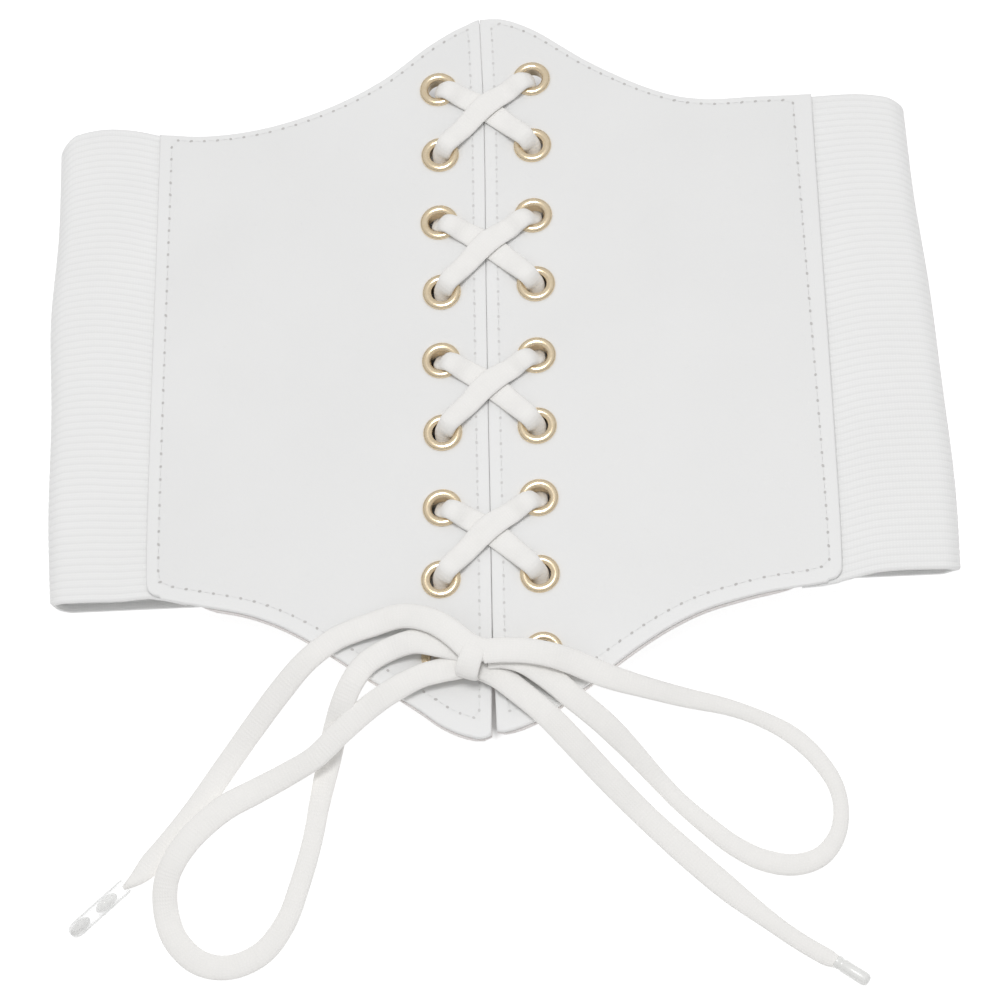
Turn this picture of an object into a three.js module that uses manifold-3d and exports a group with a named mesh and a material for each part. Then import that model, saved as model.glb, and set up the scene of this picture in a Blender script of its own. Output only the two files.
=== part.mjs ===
// A corset belt lying flat on a table, front side up.
// Two leather panels are laced together at the centre front. A wide elastic strip joins
// their outer sides round the back, and the lace is tied in a bow at the lower point.
// Millimetres. +X runs along the waist, +Y to the upper edge, +Z up, and z = 0 is the table.
import * as THREE from 'three';
import { mergeVertices } from 'three/addons/utils/BufferGeometryUtils.js';
import Module from 'manifold-3d';

const wasm = await Module();
wasm.setup();

// Driving dimensions: the belt
const FRONT_HEIGHT = 242.4;      // upper point to lower point at the centre front
const SIDE_HEIGHT = 158.5;       // along a side seam, and of the elastic
const SIDE_LIFT = 5.2;           // the middle of the sides above the middle of the centre front
const PANEL_SPAN = 208;          // side seam to side seam over both panels
const FLAT_WIDTH = 278.6;        // fold to fold over the elastic
const FLAT_DEPTH = 13.2;         // table to the face of the panels
const FACE_THICKNESS = 1.3;
const LINING_THICKNESS = 1.3;
const ELASTIC_THICKNESS = 1.6;
const SEAM_LAP = 12;             // how far the elastic reaches in under the face
const SIDE_LEAN = -1.1;          // how far the side seams stray along x at their upper ends
const CORNER_RADIUS = 4;         // the panels' lower outer corners
const FOLD_STEPS = 9;            // facets round each fold of the elastic
const GAP = 0.3;                 // between pieces that touch

// Driving dimensions: the eyelets
const EYELET_MARGIN = 25.2;      // from the points to the first and last rows, near enough
const EYELET_COLUMN = 14.7;      // from the centre line
const EYELET_BORE = 7.6;
const EYELET_RIM = 12;
const EYELET_WALL = 0.5;
const EYELET_RIM_HEIGHT = 0.9;
const EYELET_BACK_RIM = 11.2;
const EYELET_BACK_THICKNESS = 0.6;
const EYELET_SIDES = 12;

// Driving dimensions: the lace
const LACE_WIDTH = 7.6;
const LACE_THICKNESS = 2.6;
const LACE_WIDTH_IN_BORE = 5;    // where an eyelet gathers it
const LACE_SIDES = 8;
const KNOT_LENGTH = 17;
const KNOT_WIDTH = 13;
const KNOT_HEIGHT = 9.6;
const KNOT_ABOVE_POINT = 21.8;   // its centre above the lower point
const KNOT_OFF_CENTRE = -4.2;    // and beside the centre line
const KNOT_SIDES = 14;
const AGLET_LEFT = { length: 21, diameter: 4.8, heading: 222 };  // degrees round from +X
const AGLET_RIGHT = { length: 11, diameter: 3.8, heading: -35 };
const AGLET_SIDES = 12;

// Upper edge of the two panels from the centre line out to the side seam.
// out: share of the half span; left, right: share of the height of the point above the side
const UPPER_EDGE = [
  { out: 0.00, left: 1.000, right: 1.000 },
  { out: 0.03, left: 0.993, right: 1.000 },
  { out: 0.06, left: 0.952, right: 0.984 },
  { out: 0.10, left: 0.898, right: 0.940 },
  { out: 0.15, left: 0.812, right: 0.863 },
  { out: 0.20, left: 0.711, right: 0.763 },
  { out: 0.30, left: 0.483, right: 0.546 },
  { out: 0.40, left: 0.313, right: 0.367 },
  { out: 0.50, left: 0.186, right: 0.215 },
  { out: 0.60, left: 0.090, right: 0.111 },
  { out: 0.70, left: 0.024, right: 0.072 },
  { out: 0.80, left: -0.009, right: 0.075 },
  { out: 0.90, left: -0.010, right: 0.071 },
  { out: 1.00, left: 0.028, right: 0.069 },
];

// Lower edge. left, right: share of the depth of the point below the side
const LOWER_EDGE = [
  { out: 0.00, left: 0.980, right: 0.953 },
  { out: 0.03, left: 1.000, right: 0.962 },
  { out: 0.06, left: 0.987, right: 0.951 },
  { out: 0.10, left: 0.956, right: 0.921 },
  { out: 0.15, left: 0.895, right: 0.870 },
  { out: 0.20, left: 0.809, right: 0.791 },
  { out: 0.30, left: 0.653, right: 0.632 },
  { out: 0.40, left: 0.498, right: 0.468 },
  { out: 0.50, left: 0.345, right: 0.327 },
  { out: 0.60, left: 0.214, right: 0.221 },
  { out: 0.70, left: 0.122, right: 0.156 },
  { out: 0.80, left: 0.068, right: 0.108 },
  { out: 0.90, left: 0.020, right: 0.082 },
  { out: 1.00, left: -0.030, right: 0.050 },
];

// The slit between the two panels. up: share of the front's height from the lower point;
// shift: from the centre line along x; gap: its width
const CENTRE_SLIT = [
  { up: 0.00, shift: 0.65, gap: 1.80 },
  { up: 0.13, shift: 0.40, gap: 0.50 },
  { up: 0.20, shift: 0.30, gap: 0.40 },
  { up: 0.45, shift: -0.25, gap: 0.35 },
  { up: 0.60, shift: -0.50, gap: 0.35 },
  { up: 0.84, shift: -0.70, gap: 0.35 },
  { up: 0.93, shift: -1.30, gap: 0.35 },
  { up: 1.00, shift: -1.90, gap: 0.35 },
];

// How far each hand-set eyelet strays from its even place, row 1 at the top. Out is away
// from the centre line and Up towards the upper point
const EYELET_STRAYS = [
  { leftOut: 0.5, leftUp: 0.0, rightOut: -0.1, rightUp: 2.0 },
  { leftOut: 0.0, leftUp: 0.3, rightOut: -0.1, rightUp: 1.9 },
  { leftOut: 0.3, leftUp: 0.2, rightOut: -0.2, rightUp: 1.0 },
  { leftOut: -0.4, leftUp: -0.1, rightOut: 0.3, rightUp: 1.1 },
  { leftOut: -0.2, leftUp: 0.5, rightOut: 0.1, rightUp: 0.7 },
  { leftOut: -0.6, leftUp: 0.3, rightOut: 0.0, rightUp: 1.1 },
  { leftOut: -0.4, leftUp: -0.4, rightOut: 0.1, rightUp: 1.5 },
  { leftOut: 0.1, leftUp: 0.6, rightOut: 0.1, rightUp: 1.0 },
  { leftOut: 0.0, leftUp: 0.3, rightOut: 0.7, rightUp: 0.7 },
];
const EYELET_ROWS = EYELET_STRAYS.length;

// Where the elastic folds over. up: share of the side height from its lower edge;
// left, right: share of half the flat width
const ELASTIC_FOLDS = [
  { up: 0.00, left: 0.969, right: 0.998 },
  { up: 0.15, left: 0.981, right: 1.000 },
  { up: 0.40, left: 0.988, right: 0.987 },
  { up: 0.60, left: 1.000, right: 0.975 },
  { up: 0.80, left: 0.992, right: 0.956 },
  { up: 1.00, left: 0.996, right: 0.946 },
];

// Edges of the elastic beyond the seam. along: 0 at the seam, 1 where the fold starts in
// front, 2 where it ends behind; the others: shares of the side height above the plain line
const ELASTIC_EDGES = [
  { along: 0.35, upperLeft: 0.023, upperRight: 0.015, lowerLeft: 0.006, lowerRight: 0.000 },
  { along: 0.70, upperLeft: 0.029, upperRight: 0.010, lowerLeft: 0.007, lowerRight: 0.002 },
  { along: 1.00, upperLeft: 0.017, upperRight: 0.001, lowerLeft: 0.007, lowerRight: 0.001 },
  { along: 1.25, upperLeft: -0.001, upperRight: -0.007, lowerLeft: 0.008, lowerRight: 0.002 },
  { along: 1.50, upperLeft: -0.010, upperRight: -0.006, lowerLeft: 0.018, lowerRight: 0.010 },
  { along: 1.75, upperLeft: -0.008, upperRight: -0.006, lowerLeft: 0.014, lowerRight: 0.016 },
  { along: 2.00, upperLeft: -0.006, upperRight: -0.006, lowerLeft: 0.012, lowerRight: 0.015 },
];

// Routes of the bow's free lace, as [x, y, z] of the centreline, x and y from the knot's
// centre and z from the table. The curve runs through these points as they lie in the
// photo, which no formula gives. Each starts inside the knot, lies on the panels and then
// comes down onto the table.
const LOOP_LEFT_ROUTE = [
  [-3.2, 3.3, 19.0], [-10.0, 5.3, 19.0], [-17.8, 7.1, 17.8], [-26.1, 5.5, 15.6],
  [-32.6, 1.8, 15.2], [-37.0, -4.0, 14.7], [-40.1, -10.0, 12.2], [-42.5, -15.2, 7.6],
  [-45.2, -23.4, 2.6], [-48.0, -36.5, 1.9], [-50.0, -47.8, 1.9], [-53.5, -60.8, 1.9],
  [-57.6, -72.1, 1.9], [-64.3, -80.7, 1.9], [-73.7, -84.5, 1.9], [-82.5, -82.8, 1.9],
  [-89.6, -76.0, 1.9], [-92.7, -67.5, 2.1], [-92.7, -59.6, 3.6], [-90.1, -53.4, 5.2],
  [-84.8, -46.0, 5.6], [-75.9, -37.8, 4.8], [-66.5, -32.5, 3.8], [-57.0, -28.2, 5.4],
  [-48.5, -24.2, 8.2], [-40.7, -17.8, 10.8], [-32.9, -11.8, 13.0], [-25.1, -7.3, 15.4],
  [-15.2, -3.0, 16.8], [-4.3, -1.2, 17.6],
];
const LOOP_RIGHT_ROUTE = [
  [3.0, 1.7, 22.2], [8.6, 1.8, 22.2], [16.1, 1.4, 21.6], [23.0, 0.2, 20.2],
  [28.6, -1.3, 18.0], [38.6, -5.3, 15.6], [48.4, -7.9, 12.8], [60.5, -10.2, 8.0],
  [72.6, -12.4, 4.4], [82.6, -15.8, 2.4], [91.0, -20.7, 1.7], [98.2, -28.1, 1.7],
  [103.1, -36.7, 1.7], [104.2, -45.0, 1.7], [102.3, -52.3, 1.7], [97.4, -57.8, 1.7],
  [89.9, -59.8, 1.7], [81.0, -58.0, 1.7], [73.0, -53.5, 1.7], [65.3, -47.0, 1.7],
  [57.5, -39.5, 1.8], [50.8, -32.1, 3.0], [44.4, -25.2, 6.4], [37.1, -18.3, 11.2],
  [28.6, -11.5, 15.2], [21.1, -5.0, 16.8], [14.2, -0.7, 18.8], [8.0, 1.0, 19.2],
  [3.9, 1.0, 19.2],
];
const TAIL_LEFT_ROUTE = [
  [-1.1, 2.5, 22.2], [-7.1, 8.5, 22.2], [-13.5, 12.7, 20.8], [-21.7, 15.2, 18.0],
  [-30.6, 13.7, 15.9], [-41.6, 9.9, 15.3], [-50.5, 3.7, 14.3], [-59.4, -4.5, 9.6],
  [-67.9, -13.7, 4.8], [-74.5, -21.8, 2.3], [-85.4, -37.6, 1.7], [-91.8, -45.9, 1.7],
  [-97.1, -52.1, 1.7], [-101.3, -56.7, 1.9], [-105.2, -59.8, 2.3],
];
const TAIL_RIGHT_ROUTE = [
  [0.9, -1.2, 16.6], [6.5, -4.1, 16.6], [13.2, -9.5, 16.0], [20.4, -16.0, 15.1],
  [28.2, -23.9, 11.4], [36.2, -32.2, 6.6], [45.3, -41.5, 2.8], [54.8, -51.0, 1.7],
  [64.3, -60.2, 1.6], [73.7, -68.8, 1.6], [81.6, -75.4, 1.6], [89.4, -81.5, 1.6],
  [96.5, -86.2, 1.6], [100.5, -88.5, 1.8],
];
const ROUTE_STEPS = { loopLeft: 24, loopRight: 26, tailLeft: 14, tailRight: 14 };

// Levels, counted up from the table
const halfSpan = PANEL_SPAN / 2;
const faceTop = FLAT_DEPTH;
const faceBottom = faceTop - FACE_THICKNESS;
const liningTop = faceBottom - GAP;
const liningBottom = liningTop - LINING_THICKNESS;
const elasticTop = faceBottom - GAP;
const rimTop = faceTop + GAP + EYELET_RIM_HEIGHT;
const backRimTop = liningBottom - GAP;
const backRimBottom = backRimTop - EYELET_BACK_THICKNESS;
const sideTop = SIDE_LIFT + SIDE_HEIGHT / 2;
const sideBottom = SIDE_LIFT - SIDE_HEIGHT / 2;
const upperPoint = FRONT_HEIGHT / 2;
const lowerPoint = -FRONT_HEIGHT / 2;
const eyeletPitch = (FRONT_HEIGHT - 2 * EYELET_MARGIN) / (EYELET_ROWS - 1);
const knotCentre = new THREE.Vector3(
  KNOT_OFF_CENTRE, lowerPoint + KNOT_ABOVE_POINT, rimTop + GAP + KNOT_HEIGHT / 2);

const leather = new THREE.MeshStandardMaterial({ color: '#e6e6e5', roughness: 0.5 });
const liningCloth = new THREE.MeshStandardMaterial({ color: '#dcdbd8', roughness: 0.85 });
const elastic = new THREE.MeshStandardMaterial({ color: '#ececea', roughness: 0.9 });
const cotton = new THREE.MeshStandardMaterial({ color: '#f0f0ee', roughness: 0.9 });
const gold = new THREE.MeshStandardMaterial({ color: '#d8bb8a', roughness: 0.25, metalness: 1 });
const clearPlastic = new THREE.MeshStandardMaterial({ color: '#f2f2f2', roughness: 0.15 });
const whitePlastic = new THREE.MeshStandardMaterial({ color: '#f3f3f1', roughness: 0.35 });

// Shared helpers

function merged(geometry) {
  const bare = geometry.clone();
  bare.deleteAttribute('normal');
  bare.deleteAttribute('uv');
  return mergeVertices(bare);
}

function toSolid(geometry) {
  const closed = merged(geometry);
  return new wasm.Manifold(new wasm.Mesh({
    numProp: 3,
    vertProperties: new Float32Array(closed.attributes.position.array),
    triVerts: new Uint32Array(closed.index.array),
  }));
}

function toGeometry(solid) {
  const mesh = solid.getMesh();
  const geometry = new THREE.BufferGeometry();
  geometry.setAttribute('position', new THREE.BufferAttribute(mesh.vertProperties, 3));
  geometry.setIndex(new THREE.BufferAttribute(mesh.triVerts, 1));
  geometry.computeVertexNormals();
  return geometry;
}

// Cuts a piece back to the surface of another and keeps its largest body
function trimmed(geometry, cutter) {
  const bodies = toSolid(geometry).subtract(cutter).decompose();
  bodies.sort((a, b) => b.volume() - a.volume());
  return toGeometry(bodies[0]);
}

function node(name, geometry, material) {
  const mesh = new THREE.Mesh(geometry, material);
  mesh.name = name;
  return mesh;
}

function oval(halfX, halfY, sides) {
  const points = [];
  for (let i = 0; i < sides; i += 1) {
    const turn = (i + 0.5) / sides * 2 * Math.PI;
    points.push(new THREE.Vector2(halfX * Math.cos(turn), halfY * Math.sin(turn)));
  }
  return points;
}

// A closed body through rings of equal point counts, capped at both ends. The section is
// the first ring in the plane, and turns anticlockwise to an eye that the body runs towards
function loft(rings, section) {
  const count = section.length;
  const positions = rings.flat().flatMap((point) => [point.x, point.y, point.z]);
  const faces = [];
  for (let ring = 0; ring < rings.length - 1; ring += 1) {
    for (let i = 0; i < count; i += 1) {
      const a = ring * count + i;
      const b = ring * count + (i + 1) % count;
      faces.push(a, b, b + count, a, b + count, a + count);
    }
  }
  const last = (rings.length - 1) * count;
  for (const [a, b, c] of THREE.ShapeUtils.triangulateShape(section, [])) {
    faces.push(c, b, a, last + a, last + b, last + c);
  }
  const geometry = new THREE.BufferGeometry();
  geometry.setAttribute('position', new THREE.Float32BufferAttribute(positions, 3));
  geometry.setIndex(faces);
  geometry.computeVertexNormals();
  return geometry;
}

// Front panels and linings

function word(side) {
  return side < 0 ? 'left' : 'right';
}

// Points of a table's column as a smooth curve: x is the row's first value, y the column's
function columnPoints(rows, along, column) {
  const curve = new THREE.SplineCurve(
    rows.map((row) => new THREE.Vector2(row[along], row[column])));
  return curve.getPoints(2 * (rows.length - 1));
}

function upperEdge(side) {
  return columnPoints(UPPER_EDGE, 'out', word(side)).map(({ x: out, y: rise }) => (
    { x: out * halfSpan, y: sideTop + rise * (upperPoint - sideTop) }));
}

function lowerEdge(side) {
  return columnPoints(LOWER_EDGE, 'out', word(side)).map(({ x: out, y: fall }) => (
    { x: out * halfSpan, y: sideBottom + fall * (lowerPoint - sideBottom) }));
}

// Height of an edge at a distance from the centre line
function heightAt(edge, x) {
  const next = Math.max(1, edge.findIndex((point) => point.x >= x - 1e-6));
  const [from, to] = [edge[next - 1], edge[next]];
  return THREE.MathUtils.mapLinear(x, from.x, to.x, from.y, to.y);
}

function eyeletPlace(side, row) {
  const stray = EYELET_STRAYS[row];
  const x = EYELET_COLUMN + stray[word(side) + 'Out'];
  const y = stray[word(side) + 'Up'] + eyeletPitch * ((EYELET_ROWS - 1) / 2 - row);
  return new THREE.Vector2(side * x, y);
}

// Distance of a panel's edge along the slit from the centre line, below zero beyond it
function slitEdge(side, { shift, gap }) {
  return side * shift + gap / 2;
}

// Outline of a panel whose outer side stands at the given distance from the centre line
// and strays by lean at its upper end
function panelOutline(side, outerX, lean) {
  const points = [];
  const place = (x, y) => points.push(new THREE.Vector2(side * x, y));
  const upper = upperEdge(side);
  const lower = lowerEdge(side);
  const slitTop = slitEdge(side, CENTRE_SLIT[CENTRE_SLIT.length - 1]);
  const slitBottom = slitEdge(side, CENTRE_SLIT[0]);
  const topEdge = slitTop < 0 ? upperEdge(-side) : upper;
  place(slitTop, heightAt(topEdge, Math.abs(slitTop)));
  for (const { x, y } of upper) {
    if (x > slitTop + GAP && x < outerX - GAP) {
      place(x, y);
    }
  }
  place(outerX + side * lean, heightAt(upper, outerX));
  const cornerTop = heightAt(lower, outerX) + CORNER_RADIUS;
  for (let i = 0; i <= 4; i += 1) {
    const turn = i / 4 * Math.PI / 2;
    const x = outerX - CORNER_RADIUS * (1 - Math.cos(turn));
    place(x, cornerTop - CORNER_RADIUS * Math.sin(turn));
  }
  for (const { x, y } of lower.reverse()) {
    if (x > slitBottom + GAP && x < outerX - CORNER_RADIUS - GAP) {
      place(x, y);
    }
  }
  place(slitBottom, lower[lower.length - 1].y);
  for (const row of CENTRE_SLIT.slice(1, -1)) {
    place(slitEdge(side, row), lowerPoint + row.up * FRONT_HEIGHT);
  }
  return points;
}

function panel(side, outerX, lean, bottom, thickness) {
  const shape = new THREE.Shape(panelOutline(side, outerX, lean));
  const holeRadius = EYELET_BORE / 2 + EYELET_WALL + GAP;
  for (let row = 0; row < EYELET_ROWS; row += 1) {
    const centre = eyeletPlace(side, row);
    const hole = oval(holeRadius, holeRadius, EYELET_SIDES).map((point) => point.add(centre));
    shape.holes.push(new THREE.Path(hole));
  }
  const plate = new THREE.ExtrudeGeometry(shape, { depth: thickness, bevelEnabled: false });
  return plate.translate(0, 0, bottom);
}

// Elastic band: one strip that starts under the left face, folds round to the back,
// lies on the table and folds up again to the right face. It is lofted along its length
// through sections that stand across it, one point for each row of the folds' table.

// An edge of the strip on its way from the seam, read from one column of the edges' table
function elasticEdge(side, along, edge) {
  const column = edge + (side < 0 ? 'Left' : 'Right');
  const next = ELASTIC_EDGES.find((row) => row.along >= along - 1e-6);
  const last = ELASTIC_EDGES[Math.max(0, ELASTIC_EDGES.indexOf(next) - 1)];
  const share = next === last ? 0 : (along - last.along) / (next.along - last.along);
  const rise = THREE.MathUtils.lerp(last[column], next[column], share);
  return (edge === 'upper' ? sideTop : sideBottom) + rise * SIDE_HEIGHT;
}

// A section of the strip from its lower edge to its upper one, its rows at the distances
// from the centre line that xOf gives. foldTurn is the angle round the fold, from the front
// at +90 degrees to the back at -90
function elasticSection(side, bottom, top, foldTurn, xOf) {
  const middle = elasticTop / 2;
  const face = (radius) => ELASTIC_FOLDS.map(({ up, [word(side)]: share }) => {
    const foldStart = share * FLAT_WIDTH / 2 - middle;
    const x = xOf(foldStart) + radius * Math.cos(foldTurn);
    const y = THREE.MathUtils.lerp(bottom, top, up);
    return new THREE.Vector3(side * x, y, middle + radius * Math.sin(foldTurn));
  });
  return [...face(middle), ...face(middle - ELASTIC_THICKNESS).reverse()];
}

function elasticBand() {
  const front = Math.PI / 2;
  const sideRings = (side) => {
    const upper = upperEdge(side);
    const lower = lowerEdge(side);
    const underFace = [halfSpan - SEAM_LAP, halfSpan].map((x) => elasticSection(
      side, heightAt(lower, x), heightAt(upper, x), front, () => x));
    const section = (along, foldTurn, xOf) => elasticSection(
      side, elasticEdge(side, along, 'lower'), elasticEdge(side, along, 'upper'), foldTurn, xOf);
    const toFold = ELASTIC_EDGES.filter(({ along }) => along < 1).map(({ along }) => (
      section(along, front, (foldStart) => THREE.MathUtils.lerp(halfSpan, foldStart, along))));
    const fold = [];
    for (let i = 0; i <= FOLD_STEPS; i += 1) {
      const turned = i / FOLD_STEPS;
      fold.push(section(1 + turned, front - turned * Math.PI, (foldStart) => foldStart));
    }
    return [...underFace, ...toFold, ...fold];
  };
  const rings = [...sideRings(-1), ...sideRings(1).reverse()];
  const section = rings[0].map((point) => new THREE.Vector2(point.z, point.y));
  return loft(rings, section);
}

// Eyelets: a rolled rim on the face, a barrel through both layers and a flat rim behind

function eyelet(place) {
  const bore = EYELET_BORE / 2;
  const barrel = bore + EYELET_WALL;
  const rim = EYELET_RIM / 2;
  const backRim = EYELET_BACK_RIM / 2;
  const seat = faceTop + GAP;
  const profile = [
    [bore, backRimBottom],
    [backRim, backRimBottom],
    [backRim, backRimTop],
    [barrel, backRimTop],
    [barrel, seat],
    [rim, seat],
    [rim - 0.2 * EYELET_RIM_HEIGHT, seat + 0.6 * EYELET_RIM_HEIGHT],
    [(rim + bore) / 2, rimTop],
    [bore, rimTop - 0.4 * EYELET_RIM_HEIGHT],
    [bore, backRimBottom],
  ].map(([radius, height]) => new THREE.Vector2(radius, height));
  const ring = new THREE.LatheGeometry(profile, EYELET_SIDES);
  return merged(ring.rotateX(Math.PI / 2).translate(place.x, place.y, 0));
}

// Lacing: one lace that runs up from the knot through one column, over the top and down
// the other, crossing in front between rows 1-2, 3-4, 5-6 and 7-8 and running straight
// behind the panels between the pairs

const laceRest = faceTop + GAP + LACE_THICKNESS / 2;
const laceOverRim = rimTop + GAP + LACE_THICKNESS / 2;
const laceOverLace = laceRest + LACE_THICKNESS + GAP;
const laceBehind = backRimBottom - GAP - LACE_THICKNESS / 2;
const boreMiddle = (backRimBottom + rimTop) / 2;
const rimReach = (EYELET_BORE + EYELET_RIM) / 4;
const fullWidth = LACE_WIDTH;
const narrowWidth = (LACE_WIDTH + LACE_WIDTH_IN_BORE) / 2;

// Leaving a bore at the front. reach: share of the distance to the middle of the rim;
// lift: share of the way from the bore's middle up to the level over the rim
const FRONT_EXIT = [
  { reach: 0.22, lift: 0.48, width: LACE_WIDTH_IN_BORE },
  { reach: 0.58, lift: 0.94, width: LACE_WIDTH_IN_BORE },
  { reach: 1.00, lift: 1.00, width: narrowWidth },
];

// Leaving it at the back, with lift as the share of the way down to the run behind
const BACK_EXIT = [
  { reach: 0.20, lift: 0.50, width: LACE_WIDTH_IN_BORE },
  { reach: 0.62, lift: 0.96, width: LACE_WIDTH_IN_BORE },
  { reach: 1.10, lift: 1.00, width: narrowWidth },
];

// Between two bores in front. share: of the way across; bow: how far the lace strays
// towards the upper point
const CROSSING = [
  { share: 0.3, bow: 1.8 },
  { share: 0.5, bow: 2.3 },
  { share: 0.7, bow: 1.8 },
];

function lacingSequence() {
  const sequence = [];
  let side = -1;
  for (let row = EYELET_ROWS - 1; row >= 0; row -= 1) {
    sequence.push({ side, row });
    if ((EYELET_ROWS - 1 - row) % 2 === 1) {
      side = -side;
    }
  }
  const mirrored = sequence.map((stop) => ({ side: -stop.side, row: stop.row })).reverse();
  return sequence.concat(mirrored);
}

function exitStations(place, heading, rows, level) {
  const across = new THREE.Vector3(-heading.y, heading.x, 0);
  return rows.map(({ reach, lift, width }) => {
    const flat = place.clone().addScaledVector(heading, reach * rimReach);
    const z = THREE.MathUtils.lerp(boreMiddle, level, lift);
    return { at: new THREE.Vector3(flat.x, flat.y, z), across, width };
  });
}

// Stations between two bores, in front or behind
function runStations(from, to, inFront, onTop) {
  const rows = inFront ? FRONT_EXIT : BACK_EXIT;
  const level = inFront ? laceOverRim : laceBehind;
  const crossing = inFront ? CROSSING : [];
  const flats = crossing.map(({ share, bow }) => {
    const flat = from.clone().lerp(to, share);
    flat.y += bow;
    return flat;
  });
  const ahead = (flats[0] ?? to).clone().sub(from).normalize();
  const back = (flats[flats.length - 1] ?? from).clone().sub(to).normalize();
  const straight = to.clone().sub(from).normalize();
  const across = new THREE.Vector3(-straight.y, straight.x, 0);
  const stations = exitStations(from, ahead, rows, level);
  for (const flat of flats) {
    const z = onTop ? laceOverLace : laceRest;
    stations.push({ at: new THREE.Vector3(flat.x, flat.y, z), across, width: fullWidth });
  }
  const arrival = exitStations(to, back, rows, level).reverse();
  return stations.concat(arrival);
}

function boreStation(place) {
  return {
    at: new THREE.Vector3(place.x, place.y, boreMiddle),
    across: null,
    width: LACE_WIDTH_IN_BORE,
  };
}

// From the last bore to the heart of the knot
function knotStations(place) {
  const target = new THREE.Vector2(
    knotCentre.x + Math.sign(place.x) * KNOT_LENGTH / 4, knotCentre.y + KNOT_WIDTH / 3);
  const heading = target.clone().sub(place).normalize();
  const across = new THREE.Vector3(-heading.y, heading.x, 0);
  const stations = exitStations(place, heading, FRONT_EXIT, laceOverRim);
  const end = new THREE.Vector3(target.x, target.y, laceOverRim);
  if (end.distanceTo(stations[stations.length - 1].at) > LACE_THICKNESS) {
    stations.push({ at: end, across, width: narrowWidth });
  }
  return stations;
}

// Gives every station a direction across the lace that never jumps round
function settleAcross(stations) {
  for (let i = 0; i < stations.length; i += 1) {
    const before = i > 0 ? stations[i - 1].across : null;
    const raw = stations[i].across ?? stations[i + 1].across;
    const across = raw.clone();
    if (before && across.dot(before) < 0) {
      across.negate();
    }
    if (!stations[i].across && before) {
      across.add(before).normalize();
    }
    stations[i].across = across;
  }
}

function laceRings(stations) {
  return stations.map((station, i) => {
    const next = stations[Math.min(i + 1, stations.length - 1)].at;
    const previous = stations[Math.max(i - 1, 0)].at;
    const tangent = next.clone().sub(previous).normalize();
    const normal = tangent.clone().cross(station.across).normalize();
    const across = normal.clone().cross(tangent);
    const ring = oval(station.width / 2, LACE_THICKNESS / 2, LACE_SIDES);
    return ring.map((point) => station.at.clone()
      .addScaledVector(across, point.x).addScaledVector(normal, point.y));
  });
}

function lacing(knotCutter) {
  const stops = lacingSequence();
  const places = stops.map(({ side, row }) => eyeletPlace(side, row));
  const stations = knotStations(places[0]).reverse();
  stations.push(boreStation(places[0]));
  for (let i = 1; i < stops.length; i += 1) {
    const inFront = i % 2 === 0;
    const rises = stops[i].row < stops[i - 1].row;
    const highSide = rises ? stops[i].side : stops[i - 1].side;
    stations.push(...runStations(places[i - 1], places[i], inFront, highSide > 0));
    stations.push(boreStation(places[i]));
  }
  stations.push(...knotStations(places[places.length - 1]));
  settleAcross(stations);
  const body = loft(laceRings(stations), oval(1, 1, LACE_SIDES));
  return trimmed(body, knotCutter);
}

// Bow: a rounded knot, two loops and two tails with their tips

function knotBody(grow) {
  const profile = [];
  const rows = 8;
  for (let i = 0; i <= rows; i += 1) {
    const turn = Math.PI * (i / rows - 0.5);
    profile.push(new THREE.Vector2(i % rows ? Math.cos(turn) : 0, Math.sin(turn)));
  }
  const ball = new THREE.LatheGeometry(profile, KNOT_SIDES);
  ball.rotateZ(-Math.PI / 2);
  ball.scale(KNOT_LENGTH / 2 + grow, KNOT_WIDTH / 2 + grow, KNOT_HEIGHT / 2 + grow);
  return merged(ball.translate(knotCentre.x, knotCentre.y, knotCentre.z));
}

function fromKnot([x, y, z]) {
  return new THREE.Vector3(knotCentre.x + x, knotCentre.y + y, z);
}

function freeLace(route, steps, knotCutter) {
  const path = new THREE.CatmullRomCurve3(route.map(fromKnot));
  const section = new THREE.Shape(oval(LACE_THICKNESS / 2, LACE_WIDTH / 2, LACE_SIDES));
  const tube = new THREE.ExtrudeGeometry(section, { steps, extrudePath: path });
  return trimmed(tube, knotCutter);
}

// A tip beyond the end of a tail. heading: degrees round from +X
function aglet(route, { length, diameter, heading }) {
  const end = fromKnot(route[route.length - 1]);
  const turn = THREE.MathUtils.degToRad(heading);
  const radius = diameter / 2;
  const profile = [
    [0, 0],
    [radius, 0],
    [radius, length - radius],
    [0.87 * radius, length - 0.5 * radius],
    [0.5 * radius, length - 0.13 * radius],
    [0, length],
  ].map(([r, h]) => new THREE.Vector2(r, h));
  const tip = new THREE.LatheGeometry(profile, AGLET_SIDES);
  tip.rotateZ(-Math.PI / 2);
  tip.rotateZ(turn);
  tip.translate(end.x + GAP * Math.cos(turn), end.y + GAP * Math.sin(turn), radius);
  return merged(tip);
}

const group = new THREE.Group();
for (const side of [-1, 1]) {
  const face = panel(side, halfSpan, SIDE_LEAN, faceBottom, FACE_THICKNESS);
  const liningX = halfSpan - SEAM_LAP - GAP;
  const lining = panel(side, liningX, 0, liningBottom, LINING_THICKNESS);
  group.add(node(`front_panel_${word(side)}`, face, leather));
  group.add(node(`panel_lining_${word(side)}`, lining, liningCloth));
  for (let row = 0; row < EYELET_ROWS; row += 1) {
    group.add(node(`eyelet_${word(side)}_${row + 1}`, eyelet(eyeletPlace(side, row)), gold));
  }
}
group.add(node('elastic_band', elasticBand(), elastic));

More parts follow.
